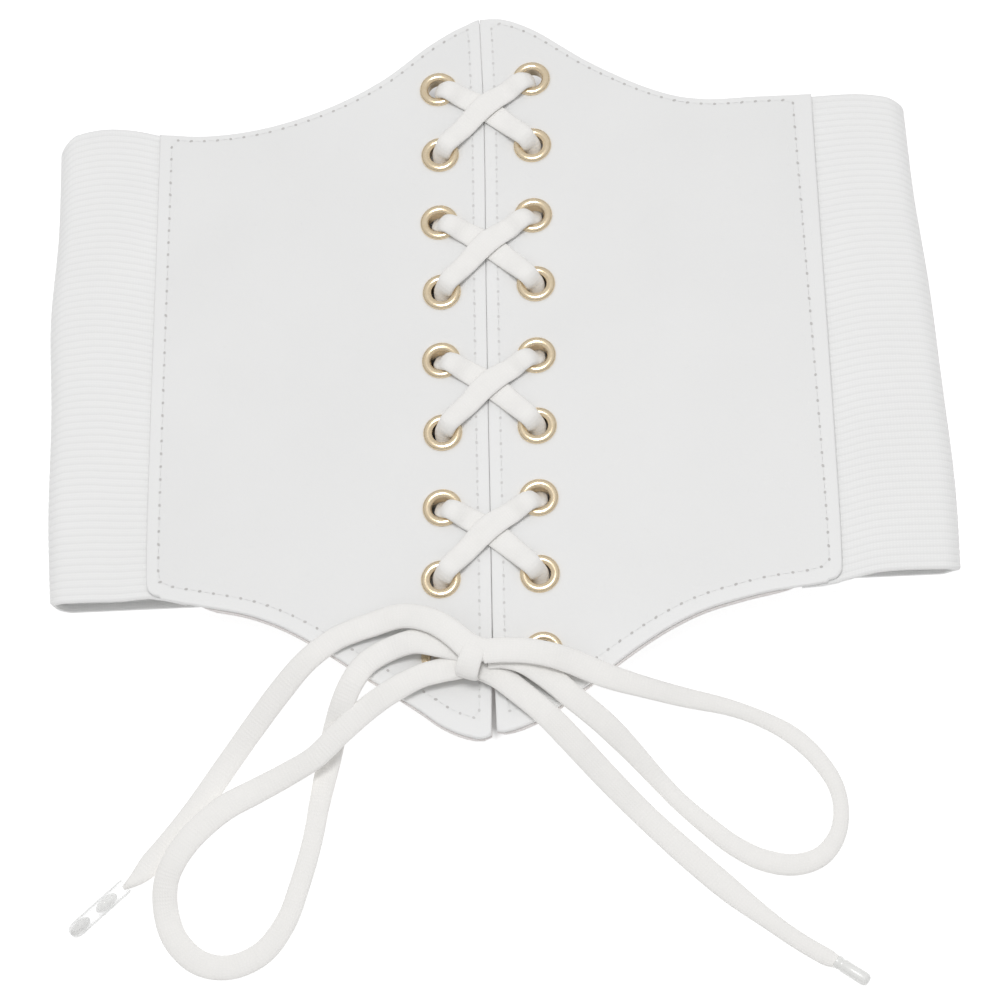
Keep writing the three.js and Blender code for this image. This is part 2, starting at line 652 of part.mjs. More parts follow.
const knotCutter = toSolid(knotBody(GAP));
const bow = [
  ['bow_loop_left', LOOP_LEFT_ROUTE, ROUTE_STEPS.loopLeft],
  ['bow_loop_right', LOOP_RIGHT_ROUTE, ROUTE_STEPS.loopRight],
  ['lace_tail_left', TAIL_LEFT_ROUTE, ROUTE_STEPS.tailLeft],
  ['lace_tail_right', TAIL_RIGHT_ROUTE, ROUTE_STEPS.tailRight],
];
group.add(node('lacing', lacing(knotCutter), cotton));
group.add(node('bow_knot', knotBody(0), cotton));
for (const [name, route, steps] of bow) {
  group.add(node(name, freeLace(route, steps, knotCutter), cotton));
}
group.add(node('aglet_left', aglet(TAIL_LEFT_ROUTE, AGLET_LEFT), clearPlastic));
group.add(node('aglet_right', aglet(TAIL_RIGHT_ROUTE, AGLET_RIGHT), whitePlastic));

export default group;
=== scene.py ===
# %% [markdown]
# # Corset belt, laced at the front
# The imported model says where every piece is. This notebook builds each one again as the
# thing it really is: coated leather, ribbed elastic, knitted lace, rolled brass eyelets.
# Lengths in the tables are millimetres, and MM turns them into Blender's metres.

# %% Load the frame
import math

import bmesh
import bpy
import numpy as np
from mathutils import Matrix, Vector, noise
from mathutils.geometry import delaunay_2d_cdt


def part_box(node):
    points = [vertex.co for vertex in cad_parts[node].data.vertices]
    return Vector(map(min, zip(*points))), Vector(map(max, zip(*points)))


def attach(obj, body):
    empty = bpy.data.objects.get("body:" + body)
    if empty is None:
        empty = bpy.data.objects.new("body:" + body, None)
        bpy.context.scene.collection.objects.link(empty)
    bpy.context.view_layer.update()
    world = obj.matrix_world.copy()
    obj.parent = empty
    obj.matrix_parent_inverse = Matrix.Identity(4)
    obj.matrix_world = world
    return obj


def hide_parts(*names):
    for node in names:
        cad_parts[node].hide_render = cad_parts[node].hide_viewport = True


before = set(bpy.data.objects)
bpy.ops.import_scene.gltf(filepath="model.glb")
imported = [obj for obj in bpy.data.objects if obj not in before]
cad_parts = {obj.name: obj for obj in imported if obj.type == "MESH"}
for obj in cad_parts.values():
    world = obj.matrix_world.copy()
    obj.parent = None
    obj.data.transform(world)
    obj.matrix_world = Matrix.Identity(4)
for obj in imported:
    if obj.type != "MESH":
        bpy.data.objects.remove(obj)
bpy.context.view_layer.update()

MM = 0.001

# %% [markdown]
# ## Camera
# The photograph was taken from high above the lower edge with a long lens. The camera's two
# angles, its roll, its lens and the point it looks at were fitted to the eyelets and the
# belt's corners.

# %% Camera
AZIMUTH, ELEVATION, ROLL = (math.radians(v) for v in (12.3838, 67.0, -14.0309))
DISTANCE, LENS, SENSOR = 0.9, 106.103, 36.0
LOOK_AT = Vector((0.0019233, -0.04116, 0.0))


def camera_axes():
    """Right, up and back directions of the camera after its roll."""
    back = Vector((math.sin(AZIMUTH) * math.cos(ELEVATION),
                   -math.cos(AZIMUTH) * math.cos(ELEVATION), math.sin(ELEVATION)))
    right = Vector((math.cos(AZIMUTH), math.sin(AZIMUTH), 0.0))
    up = back.cross(right)
    turned = right * math.cos(ROLL) + up * math.sin(ROLL)
    return turned, back.cross(turned), back


def place_camera():
    right, up, back = camera_axes()
    data = bpy.data.cameras.new("photo_camera")
    data.lens, data.sensor_width = LENS, SENSOR
    data.clip_start, data.clip_end = 0.05, 20.0
    camera = bpy.data.objects.new("photo_camera", data)
    turn = Matrix((right, up, back)).transposed().to_4x4()
    camera.matrix_world = Matrix.Translation(LOOK_AT + back * DISTANCE) @ turn
    bpy.context.collection.objects.link(camera)
    bpy.context.scene.camera = camera
    return camera


camera = place_camera()
print("camera at", [round(v, 3) for v in camera.matrix_world.translation])

# %% [markdown]
# ## Small helpers
# A piece is made from rows of points. A grid from bmesh is laid over the rows and rolled
# shut, the way a lace is knitted as a tube. Each point also keeps its own place in the
# cloth, in millimetres, in an attribute called fabric that the materials read.


# %% Mesh helpers
def finish_mesh(name, mesh, sharp=math.radians(50)):
    """Turns a bmesh into an object with smooth faces and creases only at sharp edges."""
    bmesh.ops.recalc_face_normals(mesh, faces=mesh.faces)
    for face in mesh.faces:
        face.smooth = True
    for edge in mesh.edges:
        edge.smooth = len(edge.link_faces) == 2 and edge.calc_face_angle() < sharp
    data = bpy.data.meshes.new(name)
    mesh.to_mesh(data)
    mesh.free()
    piece = bpy.data.objects.new(name, data)
    bpy.context.collection.objects.link(piece)
    return piece


def roll_grid(mesh, points, fabric, capped=True):
    """Adds a closed tube to a bmesh. points and fabric: rows x columns x 3, millimetres."""
    rows, columns = points.shape[:2]
    layer = (mesh.verts.layers.float_vector.get("fabric")
             or mesh.verts.layers.float_vector.new("fabric"))
    made = bmesh.ops.create_grid(mesh, x_segments=columns, y_segments=rows - 1, size=0.5)
    for vert in made["verts"]:
        row = round((vert.co.y + 0.5) * (rows - 1))
        column = round((vert.co.x + 0.5) * columns) % columns
        vert.co = points[row, column] * MM
        vert[layer] = fabric[row, column]
    bmesh.ops.remove_doubles(mesh, verts=made["verts"], dist=1e-7)
    if capped:
        rims = [edge for edge in mesh.edges if edge.is_boundary]
        bmesh.ops.holes_fill(mesh, edges=rims, sides=0)


def even_curve(stations, step):
    """Even steps along the smooth centripetal curve through stations (x, y, z, more...)."""
    stations = np.asarray(stations, dtype=float)
    ends = [2 * stations[0] - stations[1], 2 * stations[-1] - stations[-2]]
    s = np.vstack([ends[0], stations, ends[1]])
    gaps = np.maximum(np.linalg.norm(np.diff(s[:, :3], axis=0), axis=1), 1e-4) ** 0.5
    knots = np.concatenate([[0.0], np.cumsum(gaps)])
    dense = []
    for i in range(1, len(s) - 2):
        t0, t1, t2, t3 = knots[i - 1:i + 3]
        t = np.linspace(t1, t2, 24, endpoint=False)[:, None]
        a1 = (t1 - t) / (t1 - t0) * s[i - 1] + (t - t0) / (t1 - t0) * s[i]
        a2 = (t2 - t) / (t2 - t1) * s[i] + (t - t1) / (t2 - t1) * s[i + 1]
        a3 = (t3 - t) / (t3 - t2) * s[i + 1] + (t - t2) / (t3 - t2) * s[i + 2]
        b1 = (t2 - t) / (t2 - t0) * a1 + (t - t0) / (t2 - t0) * a2
        b2 = (t3 - t) / (t3 - t1) * a2 + (t - t1) / (t3 - t1) * a3
        dense.append((t2 - t) / (t2 - t1) * b1 + (t - t1) / (t2 - t1) * b2)
    dense = np.vstack(dense + [s[-2:-1]])
    run = np.concatenate([[0.0], np.cumsum(np.linalg.norm(np.diff(dense[:, :3], axis=0), axis=1))])
    at = np.linspace(0, run[-1], max(2, int(round(run[-1] / step)) + 1))
    return np.stack([np.interp(at, run, dense[:, k]) for k in range(s.shape[1])], axis=1), at


def unit(vectors):
    return vectors / np.maximum(np.linalg.norm(vectors, axis=1, keepdims=True), 1e-9)


def own(piece, material, slot, *nodes):
    """Gives a finished piece its material and body, and hides the CAD nodes it stands for. Its slot is
    not used.
    """
    piece.data.materials.clear()
    piece.data.materials.append(material)
    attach(piece, "root")
    if nodes:
        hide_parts(*nodes)
    return piece


# %% Material helpers
def linear(code):
    """An sRGB hex colour as the linear colour that shaders use."""
    parts = [int(code[i:i + 2], 16) / 255 for i in (1, 3, 5)]
    return [p / 12.92 if p <= 0.04045 else ((p + 0.055) / 1.055) ** 2.4 for p in parts] + [1.0]


def add(tree, kind, inputs=None, **properties):
    """Adds a shader node. An input's value is a number, a colour or a socket to link."""
    made = tree.nodes.new(kind)
    for name, value in properties.items():
        setattr(made, name, value)
    for name, value in (inputs or {}).items():
        if isinstance(value, bpy.types.NodeSocket):
            tree.links.new(value, made.inputs[name])
        else:
            made.inputs[name].default_value = value
    return made


def math_node(tree, operation, a, b=0.0, c=0.0):
    return add(tree, "ShaderNodeMath", {0: a, 1: b, 2: c}, operation=operation).outputs[0]


def blend_colours(tree, share, low, high):
    mixed = add(tree, "ShaderNodeMix", {0: share, 6: low, 7: high}, data_type="RGBA")
    return mixed.outputs[2]


def new_material(name, **values):
    made = bpy.data.materials.new(name)
    made.use_nodes = True
    surface = made.node_tree.nodes["Principled BSDF"]
    for socket, value in values.items():
        surface.inputs[socket.replace("_", " ")].default_value = value
    return made, made.node_tree, surface


def wave(tree, distance, pitch, phase=0.0):
    """A sine of a distance in millimetres, from 0 to 1 and back over each pitch."""
    turn = math_node(tree, "MULTIPLY_ADD", distance, 2 * math.pi / pitch, phase)
    return math_node(tree, "MULTIPLY_ADD", math_node(tree, "SINE", turn), 0.5, 0.5)


def bump(tree, surface, height, distance, strength=1.0):
    made = add(tree, "ShaderNodeBump", {"Height": height, "Distance": distance, "Strength": strength})
    tree.links.new(made.outputs["Normal"], surface.inputs["Normal"])


print("helpers ready")

# %% [markdown]
# ## The lace material
# A flat tubular lace of white polyester, knitted on a circular machine. Its courses run
# across it about every millimetre, and a little fuzz softens its edges, which is what the
# sheen stands for.


# %% White polyester lace, circular knitted
def lace_material():
    made, tree, surface = new_material(
        "White polyester lace, circular knitted", Roughness=0.85, Sheen_Weight=0.25,
        Sheen_Roughness=0.5, Specular_IOR_Level=0.25)
    place = add(tree, "ShaderNodeAttribute", attribute_name="fabric").outputs["Vector"]
    parts = add(tree, "ShaderNodeSeparateXYZ", {0: place})
    along, across = parts.outputs[0], parts.outputs[1]
    wander = add(tree, "ShaderNodeTexNoise", {"Vector": place, "Scale": 0.35, "Detail": 3.0})
    bent = math_node(tree, "MULTIPLY_ADD", wander.outputs[0], 1.4, along)
    courses = wave(tree, bent, 0.95)
    wales = wave(tree, across, 0.8)
    stitches = math_node(tree, "MULTIPLY", courses, wales)
    fuzz = add(tree, "ShaderNodeTexNoise", {"Vector": place, "Scale": 2.4, "Detail": 4.0})
    relief = math_node(tree, "MULTIPLY_ADD", fuzz.outputs[0], 0.8, stitches)
    shade = math_node(tree, "MULTIPLY_ADD", relief, 0.25, math_node(
        tree, "MULTIPLY", wander.outputs[0], 0.5))
    colour = blend_colours(tree, shade, linear("#ecebe8"), linear("#f6f4f1"))
    tree.links.new(colour, surface.inputs["Base Color"])
    bump(tree, surface, relief, 0.00006, 0.6)
    return made


LACE = lace_material()
print("made", LACE.name)

# %% [markdown]
# ## Free lace of the bow
# Two loops and two ends leave the knot. Each lies over the lower front, comes down onto the
# table and curves there. The route points are the CAD's own, counted from the knot's
# centre, so that each lace lies where its solid lies.

# %% Routes from the CAD source
KNOT = np.array([-4.2, -99.4, 0.0])
LACE_WIDTH, LACE_THICKNESS = 7.6, 2.6
LOOP_LEFT_ROUTE = [
    (-3.2, 3.3, 19.0), (-10.0, 5.3, 19.0), (-17.8, 7.1, 17.8), (-26.1, 5.5, 15.6),
    (-32.6, 1.8, 15.2), (-37.0, -4.0, 14.7), (-40.1, -10.0, 12.2), (-42.5, -15.2, 7.6),
    (-45.2, -23.4, 2.6), (-48.0, -36.5, 1.9), (-50.0, -47.8, 1.9), (-53.5, -60.8, 1.9),
    (-57.6, -72.1, 1.9), (-64.3, -80.7, 1.9), (-73.7, -84.5, 1.9), (-82.5, -82.8, 1.9),
    (-89.6, -76.0, 1.9), (-92.7, -67.5, 2.1), (-92.7, -59.6, 3.6), (-90.1, -53.4, 5.2),
    (-84.8, -46.0, 5.6), (-75.9, -37.8, 4.8), (-66.5, -32.5, 3.8), (-57.0, -28.2, 5.4),
    (-48.5, -24.2, 8.2), (-40.7, -17.8, 10.8), (-32.9, -11.8, 13.0), (-25.1, -7.3, 15.4),
    (-15.2, -3.0, 16.8), (-4.3, -1.2, 17.6),
]
LOOP_RIGHT_ROUTE = [
    (3.0, 1.7, 22.2), (8.6, 1.8, 22.2), (16.1, 1.4, 21.6), (23.0, 0.2, 20.2),
    (28.6, -1.3, 18.0), (38.6, -5.3, 15.6), (48.4, -7.9, 12.8), (60.5, -10.2, 8.0),
    (72.6, -12.4, 4.4), (82.6, -15.8, 2.4), (91.0, -20.7, 1.7), (98.2, -28.1, 1.7),
    (103.1, -36.7, 1.7), (104.2, -45.0, 1.7), (102.3, -52.3, 1.7), (97.4, -57.8, 1.7),
    (89.9, -59.8, 1.7), (81.0, -58.0, 1.7), (73.0, -53.5, 1.7), (65.3, -47.0, 1.7),
    (57.5, -39.5, 1.8), (50.8, -32.1, 3.0), (44.4, -25.2, 6.4), (37.1, -18.3, 11.2),
    (28.6, -11.5, 15.2), (21.1, -5.0, 16.8), (14.2, -0.7, 18.8), (8.0, 1.0, 19.2),
    (3.9, 1.0, 19.2),
]
TAIL_LEFT_ROUTE = [
    (-1.1, 2.5, 22.2), (-7.1, 8.5, 22.2), (-13.5, 12.7, 20.8), (-21.7, 15.2, 18.0),
    (-30.6, 13.7, 15.9), (-41.6, 9.9, 15.3), (-50.5, 3.7, 14.3), (-59.4, -4.5, 9.6),
    (-67.9, -13.7, 4.8), (-74.5, -21.8, 2.3), (-85.4, -37.6, 1.7), (-91.8, -45.9, 1.7),
    (-97.1, -52.1, 1.7), (-101.3, -56.7, 1.9), (-105.2, -59.8, 2.3),
]
TAIL_RIGHT_ROUTE = [
    (0.9, -1.2, 16.6), (6.5, -4.1, 16.6), (13.2, -9.5, 16.0), (20.4, -16.0, 15.1),
    (28.2, -23.9, 11.4), (36.2, -32.2, 6.6), (45.3, -41.5, 2.8), (54.8, -51.0, 1.7),
    (64.3, -60.2, 1.6), (73.7, -68.8, 1.6), (81.6, -75.4, 1.6), (89.4, -81.5, 1.6),
    (96.5, -86.2, 1.6), (100.5, -88.5, 1.8),
]
LOWEST_LACE = 1.36                        # centre of a lace that lies on the table
# Width of the free lace in mm at a distance from the knot. It narrows where it turns on edge
LACE_WIDTHS = {
    "bow_loop_left": [(0, 7.6), (60, 7.6), (77, 6.2), (105, 6.0), (122, 7.0), (140, 7.6),
                      (185, 7.6), (202, 8.3), (222, 7.2), (245, 7.4), (282, 7.6)],
    "bow_loop_right": [(0, 7.6), (38, 7.5), (61, 6.2), (76, 4.8), (85, 4.8), (95, 5.6),
                       (106, 5.2), (118, 4.5), (126, 4.6), (140, 6.3), (155, 6.5), (166, 6.0),
                       (183, 5.5), (195, 5.7), (216, 7.3), (257, 7.6)],
    "lace_tail_left": [(0, 7.6), (144, 7.4)],
    "lace_tail_right": [(0, 7.6), (98, 7.4), (111, 5.6), (120, 5.1), (136, 5.0)],
}
print("left loop", len(LOOP_LEFT_ROUTE), "route points; right loop", len(LOOP_RIGHT_ROUTE))

# %% Lace sections
def lace_tube(mesh, rows, run, thickness=LACE_THICKNESS, sides=24):
    """Adds a lace along rows of x, y, z, width and the direction across it. Returns its centres."""
    centres, widths, across = rows[:, :3], rows[:, 3], unit(rows[:, 4:7])
    tangents = unit(np.gradient(centres, axis=0))
    normals = unit(np.cross(tangents, across))
    across = np.cross(normals, tangents)
    turn = np.arange(sides) / sides * 2 * math.pi
    section_x = np.sign(np.cos(turn)) * np.abs(np.cos(turn)) ** 0.85
    section_z = np.sign(np.sin(turn)) * np.abs(np.sin(turn)) ** 0.9
    groove = 1 - 0.035 * np.exp(-((np.abs(section_x) - 0.62) / 0.12) ** 2)
    course = 1 + 0.016 * np.cos(run / 1.2 * 2 * math.pi)
    half = np.broadcast_to(thickness, run.shape) / 2
    x = widths[:, None] / 2 * section_x * groove
    z = half[:, None] * section_z * course[:, None] * groove
    points = (centres[:, None] + x[..., None] * across[:, None] + z[..., None] * normals[:, None])
    fabric = np.stack([np.broadcast_to(run[:, None], x.shape), x,
                       half[:, None] * section_z], axis=2)
    roll_grid(mesh, points, fabric)
    return centres


def level_across(rows):
    """Directions across a lace that lies flat: level, and at right angles to its run."""
    tangents = unit(np.gradient(rows[:, :3], axis=0))
    return unit(np.cross(np.array([0.0, 0.0, 1.0]), tangents))


def lace_width(name, run):
    """Width at every distance along a free lace, smoothed and a little uneven."""
    at, width = zip(*LACE_WIDTHS[name])
    shifts = np.linspace(-5.0, 5.0, 7)
    smooth = np.mean([np.interp(run + shift, at, width) for shift in shifts], axis=0)
    uneven = [1 + 0.06 * noise.noise(Vector((s * 0.05, len(name), 0.3))) for s in run]
    return smooth * np.array(uneven)


def laid_lace(stations, sink):
    """Even rows along a lace, let down by sink where it comes near the table."""
    rows, run = even_curve(stations, 0.3)
    low = np.clip((4.0 - rows[:, 2]) / 2.0, 0.0, 1.0)
    rows[:, 2] = np.maximum(rows[:, 2] - sink * low, np.minimum(rows[:, 2], LOWEST_LACE))
    return rows, run


def free_lace(name, route):
    """One free stretch of the bow as a finished mesh, and the centreline it follows in metres."""
    rows, run = laid_lace(np.array(route, dtype=float) + KNOT, 0.35)
    across = level_across(rows)
    mesh = bmesh.new()
    centres = lace_tube(mesh, np.column_stack([rows, lace_width(name, run), across]), run)
    piece = finish_mesh(f"{name}_lace", mesh)
    return own(piece, LACE, "lace", name), centres * MM, run[-1] * MM


# %% Bow loops
def declare(piece, length):
    print(piece.name, "is", round(length * 1000), "mm long")


for name, route in (("bow_loop_left", LOOP_LEFT_ROUTE), ("bow_loop_right", LOOP_RIGHT_ROUTE)):
    loop, path, length = free_lace(name, route)
    declare(loop, length)

# %% [markdown]
# ## Tips of the lace
# Each end of a lace is held in a tip so that it threads through an eyelet and cannot fray.
# The left one is a clear tube shrunk over the lace, longer than the lace inside it, and the
# right one is a short tube of white plastic. Both are spun round their axis from a profile.


# %% Plastics
def clear_plastic():
    """The wall is too thin to bend light. The grey it shows at its sides, where it is seen edge on, is
    painted reflection.
    """
    made, tree, surface = new_material(
        "Clear plastic tube, heat shrunk", Base_Color=linear("#bebebc"), Roughness=0.03)
    place = add(tree, "ShaderNodeTexCoord").outputs["Object"]
    ripple = add(tree, "ShaderNodeTexNoise", {"Vector": place, "Scale": 260.0, "Detail": 2.0})
    rough = math_node(tree, "MULTIPLY_ADD", ripple.outputs[0], 0.04, 0.01)
    tree.links.new(rough, surface.inputs["Roughness"])
    # Painted reflection: the tube turns grey and less clear where it is seen edge on.
    edge_on = add(tree, "ShaderNodeLayerWeight", {"Blend": 0.5}).outputs["Facing"]
    side = math_node(tree, "POWER", edge_on, 2.0)
    tree.links.new(math_node(tree, "MULTIPLY_ADD", side, 0.5, 0.012), surface.inputs["Alpha"])
    return made


def tube_shade_material():
    """Grey patches of painted shade and reflection in the clear tube, thinner at their rims. The patch
    near the tube's end is greyer.
    """
    made, tree, surface = new_material("Painted shade and reflection in the clear tube", Roughness=0.6)
    low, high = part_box("aglet_left")
    place = add(tree, "ShaderNodeTexCoord").outputs["Object"]
    across = add(tree, "ShaderNodeSeparateXYZ", {"Vector": place}).outputs["X"]
    far = add(tree, "ShaderNodeMapRange", {"Value": across, "From Min": high.x, "From Max": low.x})
    # Painted shade and reflection: grey blobs in the tube, greyer towards its end.
    colour = blend_colours(tree, far.outputs[0], linear("#f8f8f6"), linear("#e2e2e0"))
    tree.links.new(colour, surface.inputs["Base Color"])
    cloud = add(tree, "ShaderNodeTexNoise", {"Vector": place, "Scale": 500.0, "Detail": 3.0})
    shade_density = math_node(tree, "MULTIPLY_ADD", cloud.outputs[0], 0.3, 0.5)
    edge_on = add(tree, "ShaderNodeLayerWeight", {"Blend": 0.5}).outputs["Facing"]
    depth = math_node(tree, "SUBTRACT", 1.0, edge_on)
    tree.links.new(math_node(tree, "MULTIPLY", shade_density, depth), surface.inputs["Alpha"])
    return made


def white_plastic():
    made, tree, surface = new_material(
        "White plastic tip, crimped and glossy", Roughness=0.28, Coat_Weight=0.3,
        Coat_Roughness=0.15)
    place = add(tree, "ShaderNodeTexCoord").outputs["Object"]
    cloud = add(tree, "ShaderNodeTexNoise", {"Vector": place, "Scale": 260.0, "Detail": 3.0})
    colour = blend_colours(tree, cloud.outputs[0], linear("#e2e2df"), linear("#f0f0ee"))
    tree.links.new(colour, surface.inputs["Base Color"])
    bump(tree, surface, cloud.outputs[0], 0.0001, 0.4)
    return made


CLEAR, TUBE_SHADE, WHITE_TIP = clear_plastic(), tube_shade_material(), white_plastic()


# %% Sizes of the tips
TIP_HEADING = {"aglet_left": 222, "aglet_right": -35}    # degrees round from the belt's right
TUBE_HALF, TUBE_RADIUS, TUBE_WALL = 10.5, 2.4, 0.25
WHITE_HALF, WHITE_RADIUS, WHITE_WAIST = 5.5, 1.9, 1.72
# Patches of painted shade and reflection in the tube, shaped like drops, in mm. along: their middle,
# counted from the tube's middle
TUBE_SHADE_PATCHES = [
    {"along": -3.2, "length": 7.6, "thick": 3.7},
    {"along": 6.8, "length": 7.0, "thick": 3.6},
]


# %% Spun pieces
def spin_profile(mesh, profile, steps, place=Matrix.Identity(4)):
    """Spins a closed or axis-to-axis profile of (radius, height) in mm round the local Z axis."""
    verts = [mesh.verts.new(Vector((r * MM, 0.0, h * MM))) for r, h in profile]
    edges = [mesh.edges.new(pair) for pair in zip(verts, verts[1:])]
    if profile[0][0] > 0 and profile[-1][0] > 0:
        edges.append(mesh.edges.new((verts[-1], verts[0])))
    bmesh.ops.spin(mesh, geom=verts + edges, cent=(0, 0, 0), axis=(0, 0, 1),
                   angle=2 * math.pi, steps=steps, use_merge=True)
    mesh.verts.ensure_lookup_table()
    bmesh.ops.remove_doubles(mesh, verts=mesh.verts, dist=1e-7)
    bmesh.ops.transform(mesh, matrix=place, verts=mesh.verts)


def tip_place(node):
    """Turns the local Z axis to a tip's level heading and moves it to the CAD tip's middle."""
    low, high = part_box(node)
    turn = math.radians(TIP_HEADING[node])
    run = Vector((math.cos(turn), math.sin(turn), 0.0))
    centre = (low + high) / 2
    return Matrix.Translation(centre) @ run.to_track_quat("Z", "Y").to_matrix().to_4x4()


# %% Clear tip, left
def clear_tip():
    """A thin clear tube, closed and rounded at its far end."""
    half, radius = TUBE_HALF, TUBE_RADIUS
    outer = [(radius - 0.1, -half), (radius, -half + 0.3), (radius, half - 3.2),
             (2.3, half - 2.0), (1.9, half - 0.9), (1.2, half - 0.25), (0.0, half)]
    inner = [(max(r - TUBE_WALL, 0.0), h - TUBE_WALL if r < radius else h) for r, h in outer]
    mesh = bmesh.new()
    spin_profile(mesh, inner[::-1] + outer, 32, tip_place("aglet_left"))
    return own(finish_mesh("aglet_left_tube", mesh), CLEAR, "clear_tip", "aglet_left")


def tube_shade_patches():
    """Two blobs shaped like drops inside the clear tube, which carry painted shade and reflection."""
    mesh = bmesh.new()
    for size in TUBE_SHADE_PATCHES:
        turn = np.linspace(0, math.pi, 13)
        profile = [(size["thick"] / 2 * math.sin(a),
                    size["along"] - size["length"] / 2 * math.cos(a)) for a in turn]
        shade_patch = bmesh.new()
        spin_profile(shade_patch, profile, 24, tip_place("aglet_left"))
        held = bpy.data.meshes.new("shade_patch")
        shade_patch.to_mesh(held)
        shade_patch.free()
        mesh.from_mesh(held)
        bpy.data.meshes.remove(held)
    return own(finish_mesh("aglet_left_tube_shade", mesh), TUBE_SHADE, "clear_tip")


def white_tip():
    """A short solid tip with a crimped waist and a rounded end."""
    half, radius, waist = WHITE_HALF, WHITE_RADIUS, WHITE_WAIST
    profile = [(0.0, -half), (1.6, -half), (radius, -half + 0.25), (radius, -half + 1.2),
               (waist, -half + 1.6), (waist, -half + 2.3), (radius, -half + 2.7),
               (radius, half - 1.5), (1.7, half - 0.7), (1.1, half - 0.15), (0.0, half)]
    mesh = bmesh.new()
    spin_profile(mesh, profile, 32, tip_place("aglet_right"))
    return own(finish_mesh("aglet_right_tip", mesh), WHITE_TIP, "white_tip", "aglet_right")


tips = {"lace_tail_left": clear_tip(), "lace_tail_right": white_tip()}
tube_shade_patches()
print("tips are", 2 * TUBE_HALF, "and", 2 * WHITE_HALF, "mm long")

# %% [markdown]
# ## Lace ends
# The two ends run from the knot to their tips. Just before the clear tip the lace is drawn
# together into a narrow neck, and the white tip grips a wider one.


# %% Lace ends
def lace_end(name, route, neck):
    """A free end whose width narrows over its last stretch and ends inside its tip."""
    stations = np.array(route, dtype=float) + KNOT
    last = stations[-1] - stations[-2]
    stations = np.vstack([stations, stations[-1] + last / np.linalg.norm(last) * neck["inside"]])
    rows, run = laid_lace(stations, 0.3)
    across = level_across(rows)
    left = (run[-1] - run) / neck["reach"]
    share = np.sin(np.clip(left, 0.0, 1.0) * math.pi / 2)
    width = neck["width"] + (lace_width(name, run) - neck["width"]) * share
    thickness = np.minimum(LACE_THICKNESS, width)
    mesh = bmesh.new()
    centres = lace_tube(mesh, np.column_stack([rows, width, across]), run, thickness)
    piece = own(finish_mesh(f"{name}_lace", mesh), LACE, "lace", name)
    seen = run <= run[-1] - neck["inside"]
    declare(piece, run[seen][-1] * MM)
    return piece


# How the lace narrows, in mm. reach: over its last stretch; inside: held by the tip
lace_end("lace_tail_left", TAIL_LEFT_ROUTE, {"reach": 13.0, "width": 1.2, "inside": 0.4})
lace_end("lace_tail_right", TAIL_RIGHT_ROUTE, {"reach": 4.0, "width": 3.4, "inside": 0.5})

# %% [markdown]
# ## Lacing
# One lace runs up from the knot through one column of eyelets, over the top and down the
# other. It crosses in front between rows 1-2, 3-4, 5-6 and 7-8, and runs straight behind
# the panels between the pairs. Its stations are worked out as the CAD works them out.

# %% Lacing levels and tables
FACE_TOP, RIM_TOP, BACK_RIM = 13.2, 14.4, 9.4
ROWS, REACH, NARROW, LEANING = 9, 4.9, 6.2, 0.45
BORE_MIDDLE = (BACK_RIM + RIM_TOP) / 2
OVER_RIM = RIM_TOP + 0.15 + LACE_THICKNESS / 2
FLAT = 1.6                                # thickness of the lace where it lies crossed
AT_REST = FACE_TOP + 0.1 + FLAT / 2
OVER_LACE = AT_REST + FLAT + 0.1
BEHIND = BACK_RIM - 0.3 - LACE_THICKNESS / 2
# Leaving a bore in front and behind. reach: share of the way to the middle of the rim
FRONT_EXIT = [
    {"reach": 0.26, "lift": 0.48, "width": 6.2},
    {"reach": 0.60, "lift": 0.92, "width": 6.3},
    {"reach": 1.00, "lift": 1.00, "width": 6.7},
]
BACK_EXIT = [
    {"reach": 0.20, "lift": 0.50, "width": 5.0},
    {"reach": 0.62, "lift": 0.96, "width": 5.0},
    {"reach": 1.10, "lift": 1.00, "width": 6.3},
]
# Between two bores in front. sag: share of the way down from the rim to the panel; over:
# share of the way up onto the other strand; bow: how far it strays to the upper point
CROSSING = [
    {"share": 0.27, "sag": 0.8, "over": 0.1, "bow": 1.8, "width": 7.1},
    {"share": 0.40, "sag": 1.0, "over": 0.8, "bow": 2.5, "width": 7.6},
    {"share": 0.50, "sag": 1.0, "over": 1.0, "bow": 2.7, "width": 7.8},
    {"share": 0.60, "sag": 1.0, "over": 0.8, "bow": 2.5, "width": 7.6},
    {"share": 0.73, "sag": 0.8, "over": 0.1, "bow": 1.8, "width": 7.1},
]


def eyelet_centre(side, row):
    low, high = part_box(f"eyelet_{side}_{row + 1}")
    return np.array([(low.x + high.x) / 2, (low.y + high.y) / 2]) / MM


CENTRES = {(side, row): eyelet_centre(side, row) for side in ("left", "right") for row in range(ROWS)}
print("eyelet pitch", round(float(CENTRES["left", 0][1] - CENTRES["left", 1][1]), 2), "mm")


# %% Lacing stations
def stop_sequence():
    """Order in which the lace passes the eyelets, from the knot up and down again."""
    order, side = [], "left"
    other = {"left": "right", "right": "left"}
    for row in range(ROWS - 1, -1, -1):
        order.append((side, row))
        if (ROWS - 1 - row) % 2 == 1:
            side = other[side]
    return order + [(other[s], row) for s, row in reversed(order)]


def exit_rows(place, heading, table, level):
    across = np.array([-heading[1], heading[0], 0.0])
    rows = []
    for row in table:
        flat = place + heading * row["reach"] * REACH
        z = BORE_MIDDLE + row["lift"] * (level - BORE_MIDDLE)
        rows.append([flat[0], flat[1], z, row["width"], *across])
    return rows


